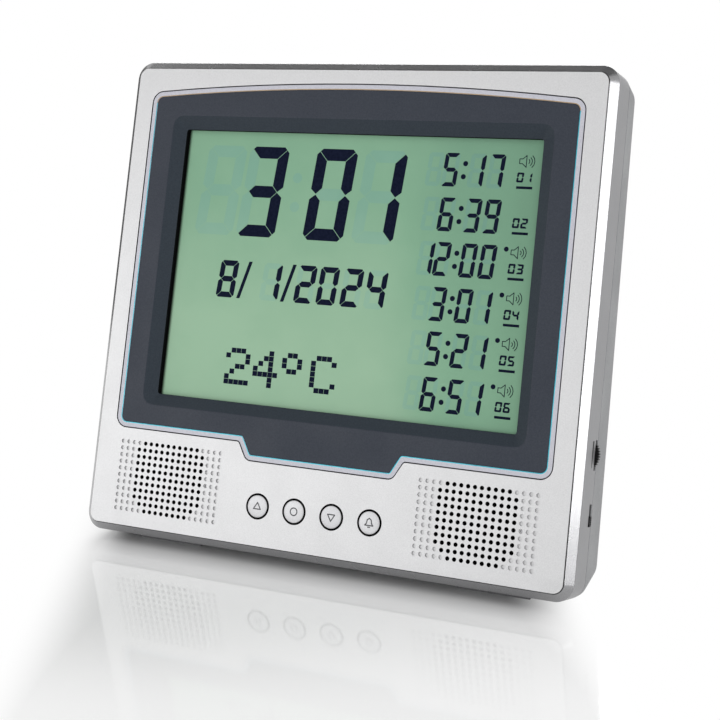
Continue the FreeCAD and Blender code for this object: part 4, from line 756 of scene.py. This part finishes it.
new_piece("lit_segments", lit, "clock", [lit_ink])
new_piece("unlit_segments", unlit, "clock",
          [film_finish("unlit_segment_film", GHOST_SHADES)])

# --------------------------------------------------------------------------------- display stack
# Behind the film lie two sheets of glass, a frosted light guide with its strip of lamps, the
# striped rubber that carries the signals, and the white tray that holds them all.
dress(finish("display_glass", "b9d2cc", "c6dcd6", grain=200, rough=(0.05, 0.12)),
      "lcd_front_glass", "lcd_rear_glass")
dress(finish("frosted_guide", "dfe2df", "ecefec", grain=400, rough=(0.3, 0.4)), "light_guide")
dress(finish("lamp_strip", "d8d3b0", "eee9cc", grain=700, rough=(0.3, 0.4)), "backlight_strip")
dress(finish("tray_white_plastic", "d9d9d6", "e4e4e1", grain=1200, rough=(0.45, 0.55),
             relief=0.01), "lcd_holder")
dress(finish("striped_rubber", "b7b0c0", "cfc9d6", grain=3000, rough=(0.6, 0.7), relief=0.02),
      "zebra_strip_lower", "zebra_strip_upper")

# -------------------------------------------------------------------------------------- buttons
# Four round caps stand a hair proud of the face. Each has a flange behind the face and a silver top,
# which carries a plain printed sign; its sides and flange are black as painted shade, which draws the
# dark ring round it.
CAP_PROFILE = [(0, -0.3), (2.6, -0.29), (4.2, -0.22), (4.72, -0.12), (4.93, 0.03), (5.0, 0.25),
               (5.0, 2.9), (6.5, 2.9), (6.5, 3.9), (2.2, 3.9), (2.2, 5.3), (0, 5.3)]
CAP_STEPS, SHOULDER, POLE_WITHIN = 72, -0.13, 0.0005
SIGN_FRONT, SIGN_STROKE, SIGN_INK = -0.3, 0.48, 0.06
TRIANGLE = [(-1.7, -1.1), (1.7, -1.1), (0, 1.7), (-1.7, -1.1)]
LOW_TRIANGLE = [(x, -z) for x, z in TRIANGLE]
RING = arc(1.6, 0, 360, 16)
BELL = [(-1.9, -1.1), (-1.2, -0.3), (-0.9, 1.2), (0, 1.9), (0.9, 1.2), (1.2, -0.3), (1.9, -1.1),
        (-1.9, -1.1)]
CLAPPER = [(-0.5, -1.8), (0.5, -1.8)]
SIGNS = {"button_up": [TRIANGLE], "button_set": [RING], "button_down": [LOW_TRIANGLE],
         "button_sound": [BELL, CLAPPER]}


def turned(profile, steps, place):
    """A profile of radii and depths spun round its own axis and put in its place."""
    bm = bmesh.new()
    points = [bm.verts.new((radius, depth, 0)) for radius, depth in profile]
    wire = [bm.edges.new(pair) for pair in zip(points, points[1:])]
    bmesh.ops.spin(bm, geom=points + wire, cent=(0, 0, 0), axis=(0, 1, 0), angle=math.tau,
                   steps=steps, use_merge=True)
    bmesh.ops.remove_doubles(bm, verts=bm.verts, dist=POLE_WITHIN)
    bmesh.ops.recalc_face_normals(bm, faces=bm.faces)
    bm.transform(place)
    return bm


cap_silver = finish("cap_silver_print", "c8c8ca", "d4d4d6", grain=2400, rough=(0.32, 0.4),
                    relief=0.006, metal=0.25)
sign_ink = finish("cap_sign_ink", "4a4a4d", "58585b", grain=1200, rough=(0.5, 0.6), ior=1.3)
CAP_TOP, CAP_SHADED_SIDE = 0, 1
for (name, lines), (x, z) in zip(SIGNS.items(), button_places):
    cap = turned(CAP_PROFILE, CAP_STEPS, Matrix.Translation((x, 0, z)))
    # Below the shoulder the cap is black as painted shade.
    for face in cap.faces:
        face.material_index = CAP_TOP if face.calc_center_median().y < SHOULDER else CAP_SHADED_SIDE
    new_piece(f"{name}_cap", cap, name, [cap_silver, black_moulding_and_shade], [name])
    printed = bmesh.new()
    for line in lines:
        add_stroke(printed, line, SIGN_STROKE, x, z, SIGN_FRONT)
    thicken(printed, (0, SIGN_INK, 0))
    new_piece(f"{name}_sign", printed, name, [sign_ink])
dress(finish("stem_black_plastic", "161617", "202022", grain=1500, rough=(0.5, 0.6), relief=0.01),
      "button_up_stem", "button_set_stem", "button_down_stem", "button_sound_stem",
      "key_switches")

# ------------------------------------------------------------------------------- volume controls
# A knurled black thumb-wheel looks out of the right-hand wall beside a printed wedge, and a small
# ribbed slide sits in the slot below it.
WHEEL_PLACE, WHEEL_FRONT, WHEEL_BACK, WHEEL_RADIUS = (109.3, 58.7), 16.2, 18.5, 8.0
KNURLS, SIDES_PER_KNURL, KNURL_DEPTH, WHEEL_FOLD, WHEEL_BREAK = 44, 4, 0.45, 60, 0.15
AXLE_RADIUS, AXLE_FRONT, AXLE_LAP = 1.5, 14.6, 0.1
wheel = bmesh.new()
sides = SIDES_PER_KNURL * KNURLS
pegs(wheel, [WHEEL_PLACE], WHEEL_RADIUS, WHEEL_FRONT, WHEEL_BACK, sides)
for vert in wheel.verts:
    across, up = vert.co.x - WHEEL_PLACE[0], vert.co.z - WHEEL_PLACE[1]
    if round(math.atan2(up, across) / math.tau * sides) % SIDES_PER_KNURL < SIDES_PER_KNURL / 2:
        share = 1 - KNURL_DEPTH / WHEEL_RADIUS
        vert.co.x, vert.co.z = WHEEL_PLACE[0] + across * share, WHEEL_PLACE[1] + up * share
rims = [e for depth in (WHEEL_FRONT, WHEEL_BACK)
        for e in sharp_edges(wheel, WHEEL_FOLD, at_depth(depth))]
soften(wheel, rims, WHEEL_BREAK)
pegs(wheel, [WHEEL_PLACE], AXLE_RADIUS, AXLE_FRONT, WHEEL_FRONT + AXLE_LAP, ROUND_SIDES)
knob_black = finish("knob_black_plastic", "0c0c0d", "141416", grain=1800, rough=(0.45, 0.55),
                    relief=0.015, ior=1.25)
new_piece("volume_thumbwheel", wheel, "volume_wheel", [knob_black],
          ["volume_wheel"])

KNOB_STRIPS, KNOB_SINK = 9, 0.28
knob = merged_copy("slide_knob")
knob_low, knob_high = min(v.co.z for v in knob.verts), max(v.co.z for v in knob.verts)
knob_out = max(v.co.x for v in knob.verts)
strip_lines = [knob_low + (knob_high - knob_low) * i / KNOB_STRIPS for i in range(1, KNOB_STRIPS)]
divide(knob, lambda face: True, [(UP, strip_lines)])
outer = [f for f in knob.faces
         if f.normal.x > SQUARE_ON and f.calc_center_median().x > knob_out - HAIR]
outer.sort(key=lambda face: face.calc_center_median().z)
sunk = bmesh.ops.extrude_discrete_faces(knob, faces=outer[1::2])["faces"]
bmesh.ops.translate(knob, verts=list({v for f in sunk for v in f.verts}), vec=(-KNOB_SINK, 0, 0))
new_piece("slide_knob_ribbed", knob, "slide_knob", [knob_black], ["slide_knob"])

WEDGE, WEDGE_SINK = [(11.6, 64.4), (13.7, 64.4), (12.8, 53.6), (12.3, 53.6)], 0.03
wedge = bmesh.new()
wedge.faces.new([wedge.verts.new((CASE_HALF + INK, depth, height)) for depth, height in WEDGE])
thicken(wedge, (-WEDGE_SINK, 0, 0))
new_piece("volume_wedge", wedge, "clock", [knob_black])
dress(knob_black, "volume_pot", "slide_switch")

# ---------------------------------------------------------------------------------- battery door
# The battery door is a silver-grey plate that turns on two pegs at its lower edge, with a
# thumb recess and a row of grip ribs at the top.
RIB_HEIGHTS, RIB_RADIUS, RIB_LONG, RIB_SINK = (145.2, 147.6, 150.0), 0.55, 15.0, 0.3
RIB_SIDES, RIB_FOLD, RIB_BREAK = 20, 60, 0.25
door = merged_copy("battery_door")
soften(door, sharp_edges(door, MOUTH_FOLD, on_back), MOUTH_BREAK)
new_piece("battery_door_moulding", door, "battery_door", [back_plastic],
          ["battery_door"], crease=BACK_CREASE)
ribs = bmesh.new()
lying = Matrix.Rotation(math.pi / 2, 4, "Y")
for height in RIB_HEIGHTS:
    at = Matrix.Translation((0, back_depth(height) - RIB_SINK, height)) @ lying
    bmesh.ops.create_cone(ribs, cap_ends=True, segments=RIB_SIDES, radius1=RIB_RADIUS,
                          radius2=RIB_RADIUS, depth=RIB_LONG, matrix=at)
soften(ribs, sharp_edges(ribs, RIB_FOLD), RIB_BREAK)
new_piece("battery_door_ribs", ribs, "battery_door", [back_plastic])

# --------------------------------------------------------------------------------- stand and feet
# The fold-out leg is a silver-grey frame on a steel pin, and two grey rubber strips under the
# sole grip the table.
LEG_BREAK = 0.4
leg = merged_copy("stand_leg")
soften(leg, sharp_edges(leg, MOUTH_FOLD), LEG_BREAK)
new_piece("stand_leg_moulding", leg, "stand_leg", [back_plastic], ["stand_leg"],
          crease=BACK_CREASE)
steel = finish("bright_steel", "9a9a9c", "b4b4b6", grain=1200, rough=(0.25, 0.4), relief=0.004,
               metal=1.0)
dress(steel, "stand_pin")
dress(finish("foot_rubber", "6e6e70", "7b7b7d", grain=2500, rough=(0.7, 0.85), relief=0.04,
             ior=1.3), "rubber_feet")

# ------------------------------------------------------------------------------------ case screws
# Six long self-tapping screws with cross-recessed pan heads are turned from zinc-coloured steel.
# Their heads sit at the bottom of the wells and hold the two shells together.
SCREW_PROFILE = [(0, 9.4), (1.1, 9.6), (1.45, 10.6), (1.45, 21.3), (2.9, 21.3), (2.95, 21.6),
                 (2.9, 22.3), (2.5, 22.9), (1.6, 23.2), (0, 23.3)]
SCREW_STEPS, SCREW_TOP = 32, 23.3
CROSS_LONG, CROSS_WIDE, CROSS_DEPTH, CROSS_TURN = 3.4, 0.7, 0.9, 0.35
screws, crosses = bmesh.new(), bmesh.new()
for x, z in WELLS:
    single = turned(SCREW_PROFILE, SCREW_STEPS, Matrix.Translation((x, 0, z)))
    loose = bpy.data.meshes.new("loose")
    single.to_mesh(loose)
    single.free()
    screws.from_mesh(loose)
    bpy.data.meshes.remove(loose)
    for wide, tall in ((CROSS_LONG, CROSS_WIDE), (CROSS_WIDE, CROSS_LONG)):
        bar = bmesh.ops.create_cube(crosses, size=1.0)["verts"]
        bmesh.ops.scale(crosses, vec=(wide, 2 * CROSS_DEPTH, tall), verts=bar)
        bmesh.ops.rotate(crosses, matrix=Matrix.Rotation(CROSS_TURN + x + z, 3, "Y"), verts=bar)
        bmesh.ops.translate(crosses, vec=(x, SCREW_TOP, z), verts=bar)
screws = cut_away(screws, crosses, crossing=True)
screw_steel = finish("screw_zinc", "8d8d90", "a9a9ac", grain=900, rough=(0.28, 0.4),
                     relief=0.006, metal=1.0)
new_piece("case_screws_turned", screws, "clock", [screw_steel], ["case_screws"])

# ----------------------------------------------------------------------------------- power socket
# The power socket is a block of black plastic behind its opening in the back shell, with a
# round throat bored into it and a bright steel pin along its middle.
JACK_ACROSS, JACK_HEIGHT, PLUG_RADIUS, PLUG_DEPTH, PAST_MOUTH = -80.0, 62.0, 2.95, 9.8, 2
PIN_PROFILE, PIN_STEPS, PIN_SINK = [(0, -11.0), (0.95, -11.0), (0.95, -0.7), (0.6, -0.15),
                                    (0, 0)], 24, 0.4
socket = merged_copy("power_jack")
socket_mouth = max(v.co.y for v in socket.verts)
drills = bmesh.new()
pegs(drills, [(JACK_ACROSS, JACK_HEIGHT)], PLUG_RADIUS, socket_mouth - PLUG_DEPTH,
     socket_mouth + PAST_MOUTH, ROUND_SIDES)
new_piece("power_socket", cut_away(socket, drills), "clock", [knob_black],
          ["power_jack"])
pin_place = Matrix.Translation((JACK_ACROSS, socket_mouth - PIN_SINK, JACK_HEIGHT))
new_piece("power_socket_pin", turned(PIN_PROFILE, PIN_STEPS, pin_place), "clock",
          [steel])

# ------------------------------------------------------------------------------------ loudspeakers
# Two small loudspeakers face the grilles through black dust cloth: a pressed steel basket, a
# black paper cone and a ferrite magnet, clamped by small screws.
dress(finish("dust_cloth", "060607", "0c0c0d", grain=3000, rough=(0.85, 0.95), relief=0.1,
             ior=1.2), "grille_cloth_left", "grille_cloth_right")
dress(finish("cone_paper", "1b1a19", "2a2826", grain=1500, rough=(0.7, 0.85), relief=0.05),
      "speaker_left_cone", "speaker_right_cone")
dress(finish("basket_steel", "6f6f72", "7f7f82", grain=900, rough=(0.35, 0.45), relief=0.01,
             metal=0.9), "speaker_left_frame", "speaker_right_frame")
dress(finish("ferrite", "2a2a2c", "353537", grain=700, rough=(0.5, 0.65), relief=0.03),
      "speaker_left_magnet", "speaker_right_magnet")

# ---------------------------------------------------------------------------- boards and components
# The main, key and side boards are green laminate with small screws, a black chip blob, a quartz
# crystal and three capacitors in bright cans.
dress(finish("board_green", "1f5a33", "2a6b3f", grain=900, rough=(0.35, 0.5), relief=0.01),
      "main_board", "key_board", "side_board")
dress(screw_steel, "board_screws", "speaker_screws")
dress(finish("chip_resin", "121213", "1a1a1b", grain=600, rough=(0.3, 0.4), relief=0.02),
      "controller_chip")
dress(finish("bright_can", "b8b9ba", "c6c7c8", grain=500, rough=(0.2, 0.3), relief=0.004,
             metal=1.0), "quartz_crystal", "capacitors")

# -------------------------------------------------------------------------------------- batteries
# Three cells in plain blue sleeves lie side by side in the bay, turned end for end, between
# nickel-plated contact plates. The sleeve's end is in metres from the middle of the cell.
CELL_RADIUS, CELL_STEPS, SLEEVE_END, SLEEVE_BLUR, SLEEVE_GRAIN = 7.0, 48, 0.0215, 0.0002, 300.0
SLEEVE_BLUE, CELL_METAL, SLEEVE_ROUGH = "2c4a7a", "b3b3b0", (0.2, 0.32)


def sleeve_finish(name):
    """A glossy blue sleeve that leaves the metal ends of the cell bare."""
    material, tree, shader = start_material(name)
    place = add_node(tree, "TexCoord").outputs["Object"]
    along = combined(tree, "ABSOLUTE", axes_of(tree, place)["X"])
    bare = ramp_between(tree, along, SLEEVE_END, SLEEVE_END + SLEEVE_BLUR)
    tint = add_node(tree, "MixRGB", Color1=colour(SLEEVE_BLUE), Color2=colour(CELL_METAL))
    tree.links.new(bare, tint.inputs["Fac"])
    tree.links.new(tint.outputs["Color"], shader.inputs["Base Color"])
    tree.links.new(bare, shader.inputs["Metallic"])
    tree.links.new(ramp_between(tree, noise_on(tree, place, SLEEVE_GRAIN), *NOISE_SPAN, *SLEEVE_ROUGH),
                   shader.inputs["Roughness"])
    return material


sleeve = sleeve_finish("cell_sleeve")
for number in (1, 2, 3):
    node = f"battery_{number}"
    low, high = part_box(node)
    middle = TO_TABLE.inverted() @ ((low + high) / 2)
    half = (high.x - low.x) / 2 / MM
    way = 1 if number % 2 else -1
    profile = [(0, -half), (5.6, -half), (6.6, -half + 0.12), (CELL_RADIUS, -half + 0.5),
               (CELL_RADIUS, half - 1.7), (6.6, half - 1.1), (5.2, half - 1.0), (2.6, half - 1.0),
               (2.6, half - 0.15), (2.3, half), (0, half)]
    at = Matrix.Translation(middle) @ Matrix.Rotation(-way * math.pi / 2, 4, "Z")
    cell = turned(profile, CELL_STEPS, at)
    new_piece(f"cell_{number}", cell, "clock", [sleeve], [node])
dress(finish("contact_nickel", "a7a59f", "bab8b2", grain=700, rough=(0.25, 0.35), relief=0.004,
             metal=1.0), "contacts_plus", "contacts_minus")
